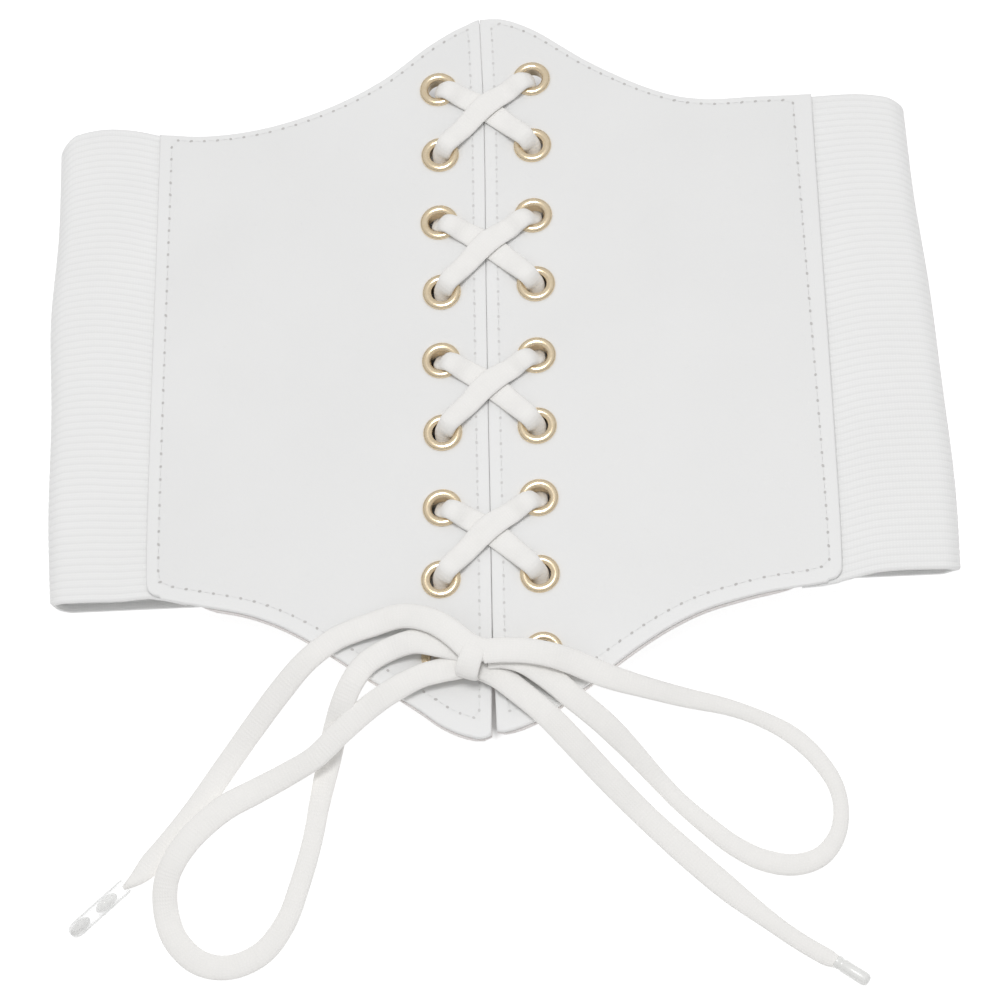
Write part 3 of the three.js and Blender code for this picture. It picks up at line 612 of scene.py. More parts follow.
def run_rows(start, end, in_front, on_top):
    """Stations between two bores, in front of the panels or behind them."""
    table, level = (FRONT_EXIT, OVER_RIM) if in_front else (BACK_EXIT, BEHIND)
    crossing = CROSSING if in_front else []
    flats = [start + (end - start) * row["share"] + (0, row["bow"]) for row in crossing]
    ahead, back = (flats[0] - start, flats[-1] - end) if flats else (end - start, start - end)
    rows = exit_rows(start, ahead / np.linalg.norm(ahead), table, level)
    for row, flat in zip(crossing, flats):
        z = OVER_RIM + (AT_REST - OVER_RIM) * row["sag"]
        z += (OVER_LACE - AT_REST) * row["over"] * on_top
        rows.append([*flat, z, row["width"], start[1] - end[1], end[0] - start[0], 0.0])
    return rows + exit_rows(end, back / np.linalg.norm(back), table, level)[::-1]


def lacing_rows():
    stops = stop_sequence()
    places = [CENTRES[stop] for stop in stops]
    fronts = [places[i - 1 if i % 2 == 0 else i + 1] for i in range(1, len(stops) - 1)]
    fronts = [KNOT[:2]] + fronts + [KNOT[:2]]
    rows = knot_rows(places[0])[::-1] + [bore_row(places[0], fronts[0])]
    for i in range(1, len(stops)):
        rising = stops[i][1] < stops[i - 1][1]
        high = stops[i][0] if rising else stops[i - 1][0]
        rows += run_rows(places[i - 1], places[i], i % 2 == 0, high == "right")
        rows.append(bore_row(places[i], fronts[i]))
    return settle(rows + knot_rows(places[-1]))


def bore_row(place, front):
    """In a bore the lace leans against the side over which it leaves in front."""
    x, y = place + (front - place) / np.linalg.norm(front - place) * LEANING
    return [x, y, BORE_MIDDLE, NARROW, None, None, None]


def knot_rows(place):
    """From an eyelet of the last row to the heart of the knot."""
    side = 1 if place[0] > 0 else -1
    target = KNOT[:2] + np.array([side * 4.25, 4.3])
    heading = (target - place) / np.linalg.norm(target - place)
    rows = exit_rows(place, heading, FRONT_EXIT, OVER_RIM)
    return rows + [[target[0], target[1], OVER_RIM, 6.3, -heading[1], heading[0], 0.0]]


def settle(rows):
    """Gives every station a direction across the lace that never jumps round."""
    before = None
    for i, row in enumerate(rows):
        given = row[4] is not None
        across = np.array(row[4:7] if given else rows[i + 1][4:7], dtype=float)
        across /= np.linalg.norm(across)
        if before is not None and across @ before < 0:
            across = -across
        if not given and before is not None:
            across = across + before
            across /= np.linalg.norm(across)
        row[4:7] = across
        before = across
    return rows


# %% Lacing
def lacing():
    rows, run = even_curve(lacing_rows(), 0.35)
    mesh = bmesh.new()
    thickness = np.interp(rows[:, 3], (NARROW, 7.6), (3.0, FLAT))
    lace_tube(mesh, rows, run, thickness, sides=20)
    print("lacing is", round(run[-1]), "mm long")
    return own(finish_mesh("lacing_strand", mesh), LACE, "lace", "lacing")


lacing()

# %% [markdown]
# ## Knot of the bow
# The lace folds over itself in a bow knot. Two folds carry the loops and the ends through
# it, and one broad slanting turn of lace wraps round both.


# %% Knot
def wrap_rows(heart, slant, reach, rise, width):
    """A turn of lace round the knot's core, from under its front edge over to under its back."""
    turn = math.radians(slant)
    run = np.array([math.sin(turn), math.cos(turn), 0.0])
    side = np.array([math.cos(turn), -math.sin(turn), 0.0])
    rows = []
    for angle in np.linspace(-50, 230, 15):
        a = math.radians(angle)
        place = heart + run * reach * math.cos(a) + np.array([0, 0, rise * math.sin(a)])
        rows.append([*place, width, *side])
    return rows


# Folded lace in the knot: x, y counted from its centre, z, width and the direction across
FOLDED_LACE = {
    "lower": [(-15.2, -3.0, 16.8, 7.2, -0.16, 1.0), (-9.5, -1.9, 17.4, 7.5, -0.16, 1.0),
              (-4.3, -0.6, 18.2, 8.0, 0.0, 1.0), (0.9, -0.9, 18.2, 8.0, 0.3, 1.0),
              (6.5, -4.0, 16.9, 7.5, 0.7, 1.0), (13.2, -9.5, 16.0, 7.2, 0.8, 1.0)],
    "upper": [(-13.5, 12.7, 20.8, 7.2, 0.45, 1.0), (-7.1, 8.5, 22.2, 7.4, 0.75, 1.0),
              (-1.4, 3.9, 22.3, 7.4, 0.45, 1.0), (3.0, 2.1, 22.3, 7.3, 0.1, 1.0),
              (8.6, 1.8, 22.2, 7.4, 0.0, 1.0), (16.1, 1.4, 21.6, 7.2, 0.0, 1.0)],
}


def knot():
    """The folds of lace that pass through the knot, and the turn that holds them."""
    mesh = bmesh.new()
    strands = []
    for rows in FOLDED_LACE.values():
        strands.append(([[KNOT[0] + x, KNOT[1] + y, z, w, ax, ay, 0.0]
                         for x, y, z, w, ax, ay in rows], 2.5))
    strands.append((wrap_rows(KNOT + np.array([-0.6, 0.3, 19.6]), 20, 5.4, 3.7, 7.0), 1.7))
    for rows, thickness in strands:
        fine, run = even_curve(rows, 0.3)
        lace_tube(mesh, fine, run, thickness)
    return own(finish_mesh("bow_knot_wraps", mesh), LACE, "lace", "bow_knot")


knot_piece = knot()
print("knot stands", round(max(v.co.z for v in knot_piece.data.vertices) / MM, 1), "mm high")

# %% [markdown]
# ## Leather panels
# Each front panel is white coated leather, stitched to its lining all round. The outline
# and the eyelet holes are read from a merged copy of the CAD node. Points are laid in rings
# along the edge, in rings round the eyelets and loosely between, and joined into triangles.
# A height for every point then gives the rounded edge, the padding beside the seam, the
# ring pressed in by each eyelet and the soft unevenness of real leather.


# %% Outline of a panel
def loops_of(node):
    """Closed outlines of a CAD plate's upper face, longest first, as x, y in millimetres."""
    mesh = bmesh.new()
    mesh.from_mesh(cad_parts[node].data)
    bmesh.ops.remove_doubles(mesh, verts=mesh.verts, dist=2e-6)
    top = max(v.co.z for v in mesh.verts) - 1e-5
    links = {}
    for edge in mesh.edges:
        flat = [abs(face.normal.z) > 0.5 for face in edge.link_faces]
        if all(v.co.z > top for v in edge.verts) and not all(flat):
            a, b = edge.verts
            links.setdefault(a.index, []).append(b.index)
            links.setdefault(b.index, []).append(a.index)
    mesh.verts.ensure_lookup_table()
    loops = []
    while links:
        start = next(iter(links))
        chain, here, before = [start], links[start][0], start
        while here != start:
            chain.append(here)
            here, before = next(n for n in links[here] if n != before), here
        for index in chain:
            del links[index]
        loops.append(np.array([mesh.verts[i].co[:2] for i in chain]) / MM)
    mesh.free()
    return sorted(loops, key=way_round, reverse=True)


def way_round(loop):
    return np.linalg.norm(loop - np.roll(loop, 1, axis=0), axis=1).sum()


def smooth_outline(points, step):
    """Even points along an outline: smooth curves between its corners, anticlockwise."""
    x, y = points[:, 0], points[:, 1]
    if (x * np.roll(y, -1) - np.roll(x, -1) * y).sum() < 0:
        points = points[::-1]
    before, after = points - np.roll(points, 1, axis=0), np.roll(points, -1, axis=0) - points
    turn = np.abs((np.arctan2(after[:, 1], after[:, 0]) - np.arctan2(before[:, 1], before[:, 0])
                   + math.pi) % (2 * math.pi) - math.pi)
    corners = [i for i in range(len(points)) if turn[i] > math.radians(35)]
    outline = []
    for a, b in zip(corners, corners[1:] + [corners[0] + len(points)]):
        stretch = points[np.arange(a, b + 1) % len(points)]
        fine, _ = even_curve(np.column_stack([stretch, np.zeros(len(stretch))]), step)
        outline.append(fine[:-1, :2])
    return np.vstack(outline)


# %% Distance from the edges
# Distance of the row of stitches from each edge of a panel, at three heights, all in mm
SEAM_HEIGHTS = (-121.0, -95.0, 85.0)
SEAM_FROM = {
    "slit": (3.6, 3.6, 3.7), "upper edge": (1.9, 1.9, 1.9), "lower edge": (5.7, 4.4, 4.2),
    "left side": (3.7, 3.7, 4.0), "right side": (3.4, 3.4, 5.9),
}


def inward_of(outline):
    along = np.roll(outline, -1, axis=0) - np.roll(outline, 1, axis=0)
    return unit(np.column_stack([-along[:, 1], along[:, 0]]))


def edge_names(outline):
    """Name of the edge at every point of an outline, told by the way the edge faces."""
    names = []
    for (x, _), (across, upward) in zip(outline, inward_of(outline)):
        if abs(across) < 0.75:
            names.append("upper edge" if upward < 0 else "lower edge")
        elif abs(x) < 30:
            names.append("slit")
        else:
            names.append("left side" if x < 0 else "right side")
    return names


def seam_insets(outline):
    """Distance of the seam from every point of an outline."""
    return np.array([np.interp(y, SEAM_HEIGHTS, SEAM_FROM[name])
                     for (_, y), name in zip(outline, edge_names(outline))])


def swollen(outline, swell):
    """The outline pushed outward by the amounts that swell names for its edges."""
    push = np.array([swell.get(name, 0.0) for name in edge_names(outline)])
    push = np.mean([np.roll(push, shift) for shift in range(-2, 3)], axis=0)
    return outline - inward_of(outline) * push[:, None]


def seam_share(points, outline, insets):
    """How near a point is to the seam: 0 on the edge, 1 on the row of stitches."""
    share = np.full(len(points), 1e9)
    for a, b, inset in zip(outline, np.roll(outline, -1, axis=0), insets):
        run = b - a
        along = np.clip(((points - a) @ run) / max(run @ run, 1e-12), 0, 1)
        gap = np.linalg.norm(points - (a + along[:, None] * run), axis=1)
        share = np.minimum(share, gap / inset)
    return share


# %% Rings of points
# Rings along the edge of a panel: shares of the way from the edge to the row of stitches
EDGE_RINGS = (0.04, 0.09, 0.15, 0.25, 0.45, 0.7, 0.85, 0.93, 1.0, 1.07, 1.15, 1.3, 1.5, 1.8)
EYELET_RINGS = (5.0, 5.5, 6.1, 6.8, 7.8)  # their radii in mm
RING_POINTS = 32
CLEAR_OF_EYELETS = 8.5                    # no loose points within this distance, in mm
HOLE_RADIUS = 4.6


# %% Points and triangles of a panel
def inset_ring(outline, insets, share):
    """The outline moved inward to a share of the way to the seam, without its crossings."""
    ring = outline + inward_of(outline) * (insets * share)[:, None]
    return ring[seam_share(ring, outline, insets) > share * 0.97 - 0.01]


def panel_points(outline, insets, holes, spacing):
    rings = [inset_ring(outline, insets, share) for share in EDGE_RINGS]
    low, high = outline.min(axis=0), outline.max(axis=0)
    xs, ys = np.arange(low[0], high[0], spacing), np.arange(low[1], high[1], spacing * 0.87)
    grid = np.array([(x + spacing / 2 * (row % 2), y) for row, y in enumerate(ys) for x in xs])
    grid = grid[inside(grid, outline)]
    inner = grid[seam_share(grid, outline, insets) > 2.0] if len(grid) else grid
    far = np.min([np.linalg.norm(inner - hole, axis=1) for hole in holes], axis=0)
    inner = inner[far > CLEAR_OF_EYELETS]
    round_holes = []
    for hole in holes:
        for radius in EYELET_RINGS:
            turn = np.linspace(0, 2 * math.pi, RING_POINTS, endpoint=False) + radius
            ring = hole + radius * np.column_stack([np.cos(turn), np.sin(turn)])
            round_holes.append(ring)
    return np.vstack(rings + [inner] + round_holes)


def inside(points, outline):
    x, y = points[:, 0], points[:, 1]
    odd = np.zeros(len(points), dtype=bool)
    for (x0, y0), (x1, y1) in zip(outline, np.roll(outline, -1, axis=0)):
        crossing = (y0 > y) != (y1 > y)
        odd ^= crossing & (x < (x1 - x0) * (y - y0) / ((y1 - y0) or 1e-12) + x0)
    return odd


def panel_plan(outline, insets, holes, spacing):
    """Points and triangles of a panel seen from above, with its eyelet holes left open."""
    hole_rings = []
    turn = np.linspace(0, 2 * math.pi, RING_POINTS, endpoint=False)
    for hole in holes:
        hole_rings.append(hole + HOLE_RADIUS * np.column_stack([np.cos(turn), np.sin(turn)]))
    fixed = np.vstack([outline] + hole_rings)
    loose = panel_points(outline, insets, holes, spacing)
    loose = loose[seam_share(loose, outline, insets) > 0.03]
    edges, start = [], 0
    for ring in [outline] + hole_rings:
        count = len(ring)
        edges += [(start + i, start + (i + 1) % count) for i in range(count)]
        start += count
    verts = [Vector(p) for p in np.vstack([fixed, loose])]
    found, _, triangles, *_ = delaunay_2d_cdt(verts, edges, [], 1, 1e-4)
    points = np.array([v[:] for v in found])
    triangles = np.array([t[:] for t in triangles])
    middle = points[triangles].mean(axis=1)
    clear = np.min([np.linalg.norm(middle - hole, axis=1) for hole in holes], axis=0)
    keep = inside(middle, outline) & (clear > HOLE_RADIUS * 0.98)
    return points, triangles[keep]


# %% Height of the leather
def leather_height(points, share, holes):
    """Height above the panel's level face, in mm, from the seam share and the eyelets."""
    edge = np.clip(share / 0.14, 0, 1)
    roll = -0.28 * (1 - np.sqrt(1 - (1 - edge) ** 2))
    welt = 0.04 * np.exp(-((share - 0.55) / 0.3) ** 2)
    padding = 0.05 * np.exp(-((share - 1.5) / 0.5) ** 2)
    gap = np.min([np.linalg.norm(points - hole, axis=1) for hole in holes], axis=0)
    pressed = -0.14 * np.exp(-((gap - 4.8) / 1.3) ** 2) + 0.08 * np.exp(-((gap - 7.6) / 1.2) ** 2)
    soft = np.array([0.16 * noise.noise(Vector((x / 26, y / 26, 1.7)))
                     + 0.05 * noise.noise(Vector((x / 7, y / 7, 4.1))) for x, y in points])
    return roll + welt + padding + pressed + soft * np.clip(share, 0, 1)


def panel_mesh(name, node, height, swell, spacing=2.4, step=1.0):
    """A plate with the outline and holes of its CAD node, a little swollen at named edges."""
    loops = loops_of(node)
    outline = smooth_outline(loops[0], step)
    insets = seam_insets(outline)
    outline = swollen(outline, swell)
    holes = [loop.mean(axis=0) for loop in loops[1:]]
    points, triangles = panel_plan(outline, insets, holes, spacing)
    share = seam_share(points, outline, insets)
    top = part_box(node)[1].z / MM + height(points, share, holes)
    mesh = bmesh.new()
    layer = mesh.verts.layers.float_vector.new("fabric")
    verts = [mesh.verts.new((x * MM, y * MM, z * MM)) for (x, y), z in zip(points, top)]
    for vert, (x, y), s in zip(verts, points, share):
        vert[layer] = (x, y, s)
    for a, b, c in triangles:
        mesh.faces.new((verts[a], verts[b], verts[c]))
    grown = bmesh.ops.extrude_face_region(mesh, geom=mesh.faces[:], use_keep_orig=True)
    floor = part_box(node)[0].z
    for vert in (v for v in grown["geom"] if isinstance(v, bmesh.types.BMVert)):
        vert.co.z = floor
    loose = [v for v in mesh.verts if not v.link_faces]
    bmesh.ops.delete(mesh, geom=loose, context="VERTS")
    print(name, len(mesh.faces), "faces,", len(holes), "eyelet holes")
    return finish_mesh(name, mesh), outline, insets, holes


# %% [markdown]
# ## Leather and lining materials
# The leather has a thin white coat over a fine pebbled grain with cells near a millimetre
# across. Its colour clouds a little and is lighter on the welt outside the stitches. The
# lining is a plain woven cotton that only shows at the edges.


# %% White leather, coated and embossed
def leather_material():
    made, tree, surface = new_material(
        "White leather, coated and embossed", Roughness=0.5, Specular_IOR_Level=0.35,
        Coat_Weight=0.06, Coat_Roughness=0.35)
    place = add(tree, "ShaderNodeAttribute", attribute_name="fabric")
    share = add(tree, "ShaderNodeSeparateXYZ", {0: place.outputs["Vector"]}).outputs[2]
    spot = add(tree, "ShaderNodeTexCoord").outputs["Object"]
    grain = add(tree, "ShaderNodeTexVoronoi", {"Vector": spot, "Scale": 1100.0}, feature="F1")
    pores = add(tree, "ShaderNodeTexNoise", {"Vector": spot, "Scale": 2600.0, "Detail": 2.0})
    cloud = add(tree, "ShaderNodeTexNoise", {"Vector": spot, "Scale": 28.0, "Detail": 4.0})
    height = math_node(tree, "MULTIPLY_ADD", pores.outputs[0], 0.35, grain.outputs["Distance"])
    base = blend_colours(tree, cloud.outputs[0], linear("#e4e4e3"), linear("#eaeae9"))
    welt = add(tree, "ShaderNodeMapRange", {0: share, 1: 1.0, 2: 0.8, 3: 0.0, 4: 0.25})
    lighter = blend_colours(tree, welt.outputs[0], base, linear("#f1f1f0"))
    tree.links.new(lighter, surface.inputs["Base Color"])
    rough = math_node(tree, "MULTIPLY_ADD", cloud.outputs[0], 0.16, 0.42)
    tree.links.new(rough, surface.inputs["Roughness"])
    bump(tree, surface, height, 0.00004, 0.55)
    return made


def lining_material():
    made, tree, surface = new_material(
        "White cotton lining, plain woven", Roughness=0.9, Sheen_Weight=0.15)
    spot = add(tree, "ShaderNodeTexCoord").outputs["Object"]
    parts = add(tree, "ShaderNodeSeparateXYZ", {0: spot})
    warp = wave(tree, math_node(tree, "MULTIPLY", parts.outputs[0], 1000.0), 0.7)
    weft = wave(tree, math_node(tree, "MULTIPLY", parts.outputs[1], 1000.0), 0.7)
    cross = math_node(tree, "MULTIPLY", warp, weft)
    colour = blend_colours(tree, cross, linear("#e2dddb"), linear("#f1eeec"))
    tree.links.new(colour, surface.inputs["Base Color"])
    bump(tree, surface, cross, 0.00008, 0.7)
    return made


LEATHER, LINING = leather_material(), lining_material()

# %% Panels and linings
plans = {}
for side in ("left", "right"):
    node = f"front_panel_{side}"
    piece, outline, insets, holes = panel_mesh(f"{node}_leather", node, leather_height, {"slit": 0.12})
    own(piece, LEATHER, "leather", node)
    plans[side] = (outline, insets, holes)


def lining_height(points, share, holes):
    return -0.3 * (1 - np.sqrt(1 - (1 - np.clip(share / 0.2, 0, 1)) ** 2))


for side in ("left", "right"):
    node = f"panel_lining_{side}"
    piece, *_ = panel_mesh(f"{node}_cloth", node, lining_height, {"lower edge": 0.45}, 6.0, 2.5)
    own(piece, LINING, "lining", node)

# %% [markdown]
# ## Stitches
# A lockstitch every 4.3 mm. Each visible stitch is a short thread that rises out of one
# needle hole and dips into the next, and the hole is a small dent in the leather with painted shade.


# %% Thread and needle holes
def thread_material():
    made, tree, surface = new_material(
        "White polyester thread, twisted", Roughness=0.6, Sheen_Weight=0.2)
    place = add(tree, "ShaderNodeAttribute", attribute_name="fabric").outputs["Vector"]
    parts = add(tree, "ShaderNodeSeparateXYZ", {0: place})
    slant = math_node(tree, "MULTIPLY_ADD", parts.outputs[1], 0.8, parts.outputs[0])
    ply = wave(tree, slant, 0.5)
    colour = blend_colours(tree, ply, linear("#e0e0de"), linear("#ededec"))
    tree.links.new(colour, surface.inputs["Base Color"])
    bump(tree, surface, ply, 0.00006, 0.8)
    return made


def needle_hole_shade_material():
    made, tree, surface = new_material("Needle holes, painted shade", Roughness=0.9)
    spot = add(tree, "ShaderNodeTexCoord").outputs["Object"]
    cloud = add(tree, "ShaderNodeTexNoise", {"Vector": spot, "Scale": 300.0})
    # Painted shade: the needle holes are grey, and paler beside the slit.
    colour = blend_colours(tree, cloud.outputs[0], linear("#b4b2b0"), linear("#d2d0ce"))
    out = math_node(tree, "ABSOLUTE", add(tree, "ShaderNodeSeparateXYZ", {0: spot}).outputs[0])
    slit = add(tree, "ShaderNodeMapRange", {0: out, 1: 0.007, 2: 0.011, 3: 0.6, 4: 0.0})
    shallow = blend_colours(tree, slit.outputs[0], colour, linear("#dcdbda"))
    tree.links.new(shallow, surface.inputs["Base Color"])
    return made


THREAD, NEEDLE_HOLE_SHADE = thread_material(), needle_hole_shade_material()
PITCH = 4.28                              # from one needle hole to the next, in mm
# A stitch from hole to hole: share of the way, and height of the thread above the leather
STITCH_SHARES = np.array([0.09, 0.14, 0.28, 0.5, 0.72, 0.86, 0.91])
STITCH_HEIGHTS = np.array([-0.32, -0.19, -0.14, -0.12, -0.14, -0.19, -0.32])
THREAD_RADIUS, THREAD_END_RADIUS = 0.16, 0.12


def seam_places(outline, insets):
    """Needle holes at even steps along the row of stitches, with the run's direction."""
    ring = inset_ring(outline, insets, 1.0)
    closed = np.vstack([ring, ring[:1]])
    run = np.concatenate([[0], np.cumsum(np.linalg.norm(np.diff(closed, axis=0), axis=1))])
    count = int(round(run[-1] / PITCH))
    at = np.arange(count) * run[-1] / count
    places = np.stack([np.interp(at, run, closed[:, k]) for k in (0, 1)], axis=1)
    ahead = np.stack([np.interp((at + 0.5) % run[-1], run, closed[:, k]) for k in (0, 1)], axis=1)
    return places, unit(ahead - places)


def surface_height(side, points):
    outline, insets, holes = plans[side]
    share = seam_share(points, outline, insets)
    return FACE_TOP + leather_height(points, share, holes)


def stitches(side):
    outline, insets, _ = plans[side]
    places, _ = seam_places(outline, insets)
    ends = np.roll(places, -1, axis=0)
    level = surface_height(side, places)
    levels = (level + np.roll(level, -1)) / 2
    mesh = bmesh.new()
    mesh.verts.layers.float_vector.new("fabric")
    share = STITCH_SHARES
    thick = np.where(np.abs(share - 0.5) > 0.4, THREAD_END_RADIUS, THREAD_RADIUS)
    turn = np.arange(8) / 8 * 2 * math.pi
    for start, end, z in zip(places, ends, levels):
        flat = start + (end - start) * share[:, None]
        run = unit((end - start)[None])[0]
        cross = np.array([-run[1], run[0], 0.0])
        centre = np.column_stack([flat, z + STITCH_HEIGHTS])
        ring = (centre[:, None] + (thick[:, None] * np.cos(turn))[..., None] * cross
                + (thick[:, None] * np.sin(turn))[..., None] * np.array([0, 0, 1.0]))
        length = np.linalg.norm(end - start)
        fabric = np.stack(np.broadcast_arrays((share * length)[:, None], turn, 0.0), axis=2)
        stitch_tube(mesh, ring, fabric)
    piece = finish_mesh(f"stitching_{side}", mesh)
    print(piece.name, len(places), "stitches")
    return own(piece, THREAD, "leather")


def stitch_tube(mesh, points, fabric):
    """One stitch: a tube through its rings, left open at the ends inside the needle holes."""
    layer = mesh.verts.layers.float_vector["fabric"]
    rows = []
    for ring, cloth in zip(points, fabric):
        rows.append([mesh.verts.new(Vector(p) * MM) for p in ring])
        for vert, value in zip(rows[-1], cloth):
            vert[layer] = value
    for low, high in zip(rows, rows[1:]):
        for i in range(len(low)):
            j = (i + 1) % len(low)
            mesh.faces.new((low[i], low[j], high[j], high[i]))


def needle_hole_shade(side):
    """Small shallow dents, longer along the seam, where the needle went through, grey with painted
    shade.
    """
    outline, insets, _ = plans[side]
    places, runs = seam_places(outline, insets)
    level = surface_height(side, places)
    mesh = bmesh.new()
    for place, run, z in zip(places, runs, level):
        uneven = noise.noise(Vector((*place, 3.3)))
        grow = Matrix.Diagonal(((0.54 + 0.16 * uneven) * MM, 0.4 * MM, MM, 1.0))
        turn = Matrix.Rotation(math.atan2(run[1], run[0]) + uneven, 4, "Z")
        at = Matrix.Translation(Vector((*place, z + 0.07)) * MM)
        made = bmesh.ops.create_circle(mesh, cap_ends=True, segments=10, radius=1.0)
        middle = bmesh.ops.poke(mesh, faces=list({f for v in made["verts"] for f in v.link_faces}))
        centre = middle["verts"][0]
        centre.co.z = -0.02
        bmesh.ops.transform(mesh, matrix=at @ turn @ grow, verts=made["verts"] + [centre])
    return own(finish_mesh(f"needle_hole_shade_{side}", mesh), NEEDLE_HOLE_SHADE, "leather")


for side in ("left", "right"):
    stitches(side)
    needle_hole_shade(side)

# %% [markdown]
# ## Elastic band
# One wide strip of ribbed elastic joins the panels' outer sides round the back. Its ribs
# run round the waist, one every 2.3 mm, where rubber cords lie between the woven faces.
# The strip is laid out as rows across it: under the leather, out to the fold, round it,
# along the table and up the other side. Every row carries all the ribs.

# %% Elastic tables
HALF_SPAN, HALF_WIDTH, FOLD_RADIUS, ELASTIC_THICKNESS = 104.0, 139.3, 5.8, 1.6
SEAM_LAP, STRIP_HEIGHT = 12, 158.5
RIBS, STEPS_PER_RIB = 70, 6
RIB_DEPTH, EDGE_DEPTH, EDGE_REACH = 0.13, 0.25, 0.8
# Edges of the strip in mm. along: 0 at the seam, 1 where the fold starts, 2 where it ends
EDGES = [
    {"along": -1.0, "left": (-75.2, 84.1), "right": (-78.0, 87.1)},
    {"along": 0.00, "left": (-72.6, 85.8), "right": (-76.4, 87.0)},
    {"along": 0.35, "left": (-73.1, 88.5), "right": (-74.1, 87.2)},
    {"along": 0.70, "left": (-72.9, 89.5), "right": (-73.7, 86.8)},
    {"along": 1.00, "left": (-72.9, 87.9), "right": (-73.9, 85.5)},
    {"along": 1.25, "left": (-72.8, 84.9), "right": (-73.7, 84.0)},
    {"along": 1.50, "left": (-71.2, 82.9), "right": (-72.5, 83.5)},
    {"along": 1.75, "left": (-71.8, 83.2), "right": (-71.5, 83.5)},
    {"along": 2.00, "left": (-72.2, 83.5), "right": (-71.7, 83.5)},
]
# Where the strip folds. up: share of its height; left, right: share of half the flat width
FOLDS = [
    {"up": 0.00, "left": 0.969, "right": 0.998},
    {"up": 0.15, "left": 0.981, "right": 1.000},
    {"up": 0.40, "left": 0.988, "right": 0.987},
    {"up": 0.60, "left": 1.000, "right": 0.975},
    {"up": 0.80, "left": 0.992, "right": 0.956},
    {"up": 1.00, "left": 0.996, "right": 0.946},
]
ARCH = {"left": 2.0, "right": 1.2}      # how far the ribs bow upward between seam and fold


def smooth_table(table, key, value, at):
    """A table's column as a smooth curve through its rows, read at the given places."""
    x, y = np.array([row[key] for row in table]), np.array([value(row) for row in table])
    slope = np.gradient(y, x)
    i = np.clip(np.searchsorted(x, at) - 1, 0, len(x) - 2)
    span = x[i + 1] - x[i]
    t = np.clip((at - x[i]) / span, 0, 1)
    return ((2 * t**3 - 3 * t**2 + 1) * y[i] + (t**3 - 2 * t**2 + t) * span * slope[i]
            + (3 * t**2 - 2 * t**3) * y[i + 1] + (t**3 - t**2) * span * slope[i + 1])


# %% Rows of the elastic
def strip_stations():
    """Places along the strip from the left seam round to the right: side, along."""
    under = [-1.0, -0.5, -0.1]
    front = list(np.linspace(0.0, 1.0, 13)[:-1])
    fold = list(np.linspace(1.0, 2.0, 19))
    side = under + front + fold
    left = [("left", a) for a in side]
    right = [("right", a) for a in side][::-1]
    back = [("back", a) for a in np.linspace(0, 1, 16)[1:-1]]
    return left + back + right


def strip_row(side, along, ups, depth):
    """Points of one row, at a depth in from the outer face, from the lower edge up."""
    if side == "back":
        first = strip_row("left", 2.0, ups, depth)
        last = strip_row("right", 2.0, ups, depth)
        return first + (last - first) * along
    sign = -1 if side == "left" else 1
    at = np.array([along])
    bottom = smooth_table(EDGES, "along", lambda row: row[side][0], at)[0]
    top = smooth_table(EDGES, "along", lambda row: row[side][1], at)[0]
    fold_x = smooth_table(FOLDS, "up", lambda row: row[side], ups) * HALF_WIDTH - FOLD_RADIUS
    radius = FOLD_RADIUS - depth
    if along < 0:
        x, turn = np.full(len(ups), HALF_SPAN + SEAM_LAP * along), math.pi / 2
    elif along < 1:
        x, turn = HALF_SPAN + (fold_x - HALF_SPAN) * along, math.pi / 2
    else:
        x, turn = fold_x, math.pi / 2 - (along - 1) * math.pi
    bow = ARCH[side] * np.sin(math.pi * ups) * math.sin(math.pi * min(max(along, 0), 2) / 2)
    y = bottom + (top - bottom) * ups + bow
    z = FOLD_RADIUS + radius * math.sin(turn)
    return np.column_stack([sign * (x + radius * math.cos(turn)), y, np.full(len(ups), z)])


def rib_relief(ups):
    """Depth of the surface below the ribs' crests: broad ridges with narrow valleys."""
    phase = np.abs((ups * RIBS) % 1.0 * 2 - 1)
    edge = np.minimum(ups, 1 - ups) * STRIP_HEIGHT
    return RIB_DEPTH * phase ** 2.6 + EDGE_DEPTH * np.clip(1 - edge / EDGE_REACH, 0, 1) ** 2


def elastic_band():
    count = RIBS * STEPS_PER_RIB
    ups = np.arange(count + 1) / count
    rows, cloth = [], []
    run, before = 0.0, None
    for side, along in strip_stations():
        relief = rib_relief(ups)
        outer = strip_row(side, along, ups, relief)
        inner = strip_row(side, along, ups, ELASTIC_THICKNESS - relief)
        middle = outer[len(outer) // 2]
        run += 0.0 if before is None else np.linalg.norm(middle - before)
        before = middle
        wander = np.array([0.34 * noise.noise(Vector((run / 11, y / 8, 2.2)))
                           + 0.12 * noise.noise(Vector((run / 3, y / 3, 5.1))) for y in outer[:, 1]])
        for points in (outer, inner):
            points[:, 1] += wander * np.sin(math.pi * ups)
        rows.append(np.vstack([outer, inner[::-1]]))
        place = np.column_stack([np.full(count + 1, run), ups * RIBS, relief])
        cloth.append(np.vstack([place, place[::-1]]))
    mesh = bmesh.new()
    roll_grid(mesh, np.array(rows), np.array(cloth))
    print("elastic strip is", round(run), "mm long with", RIBS, "ribs,", len(mesh.faces), "faces")
    return finish_mesh("elastic_band_ribbed", mesh)


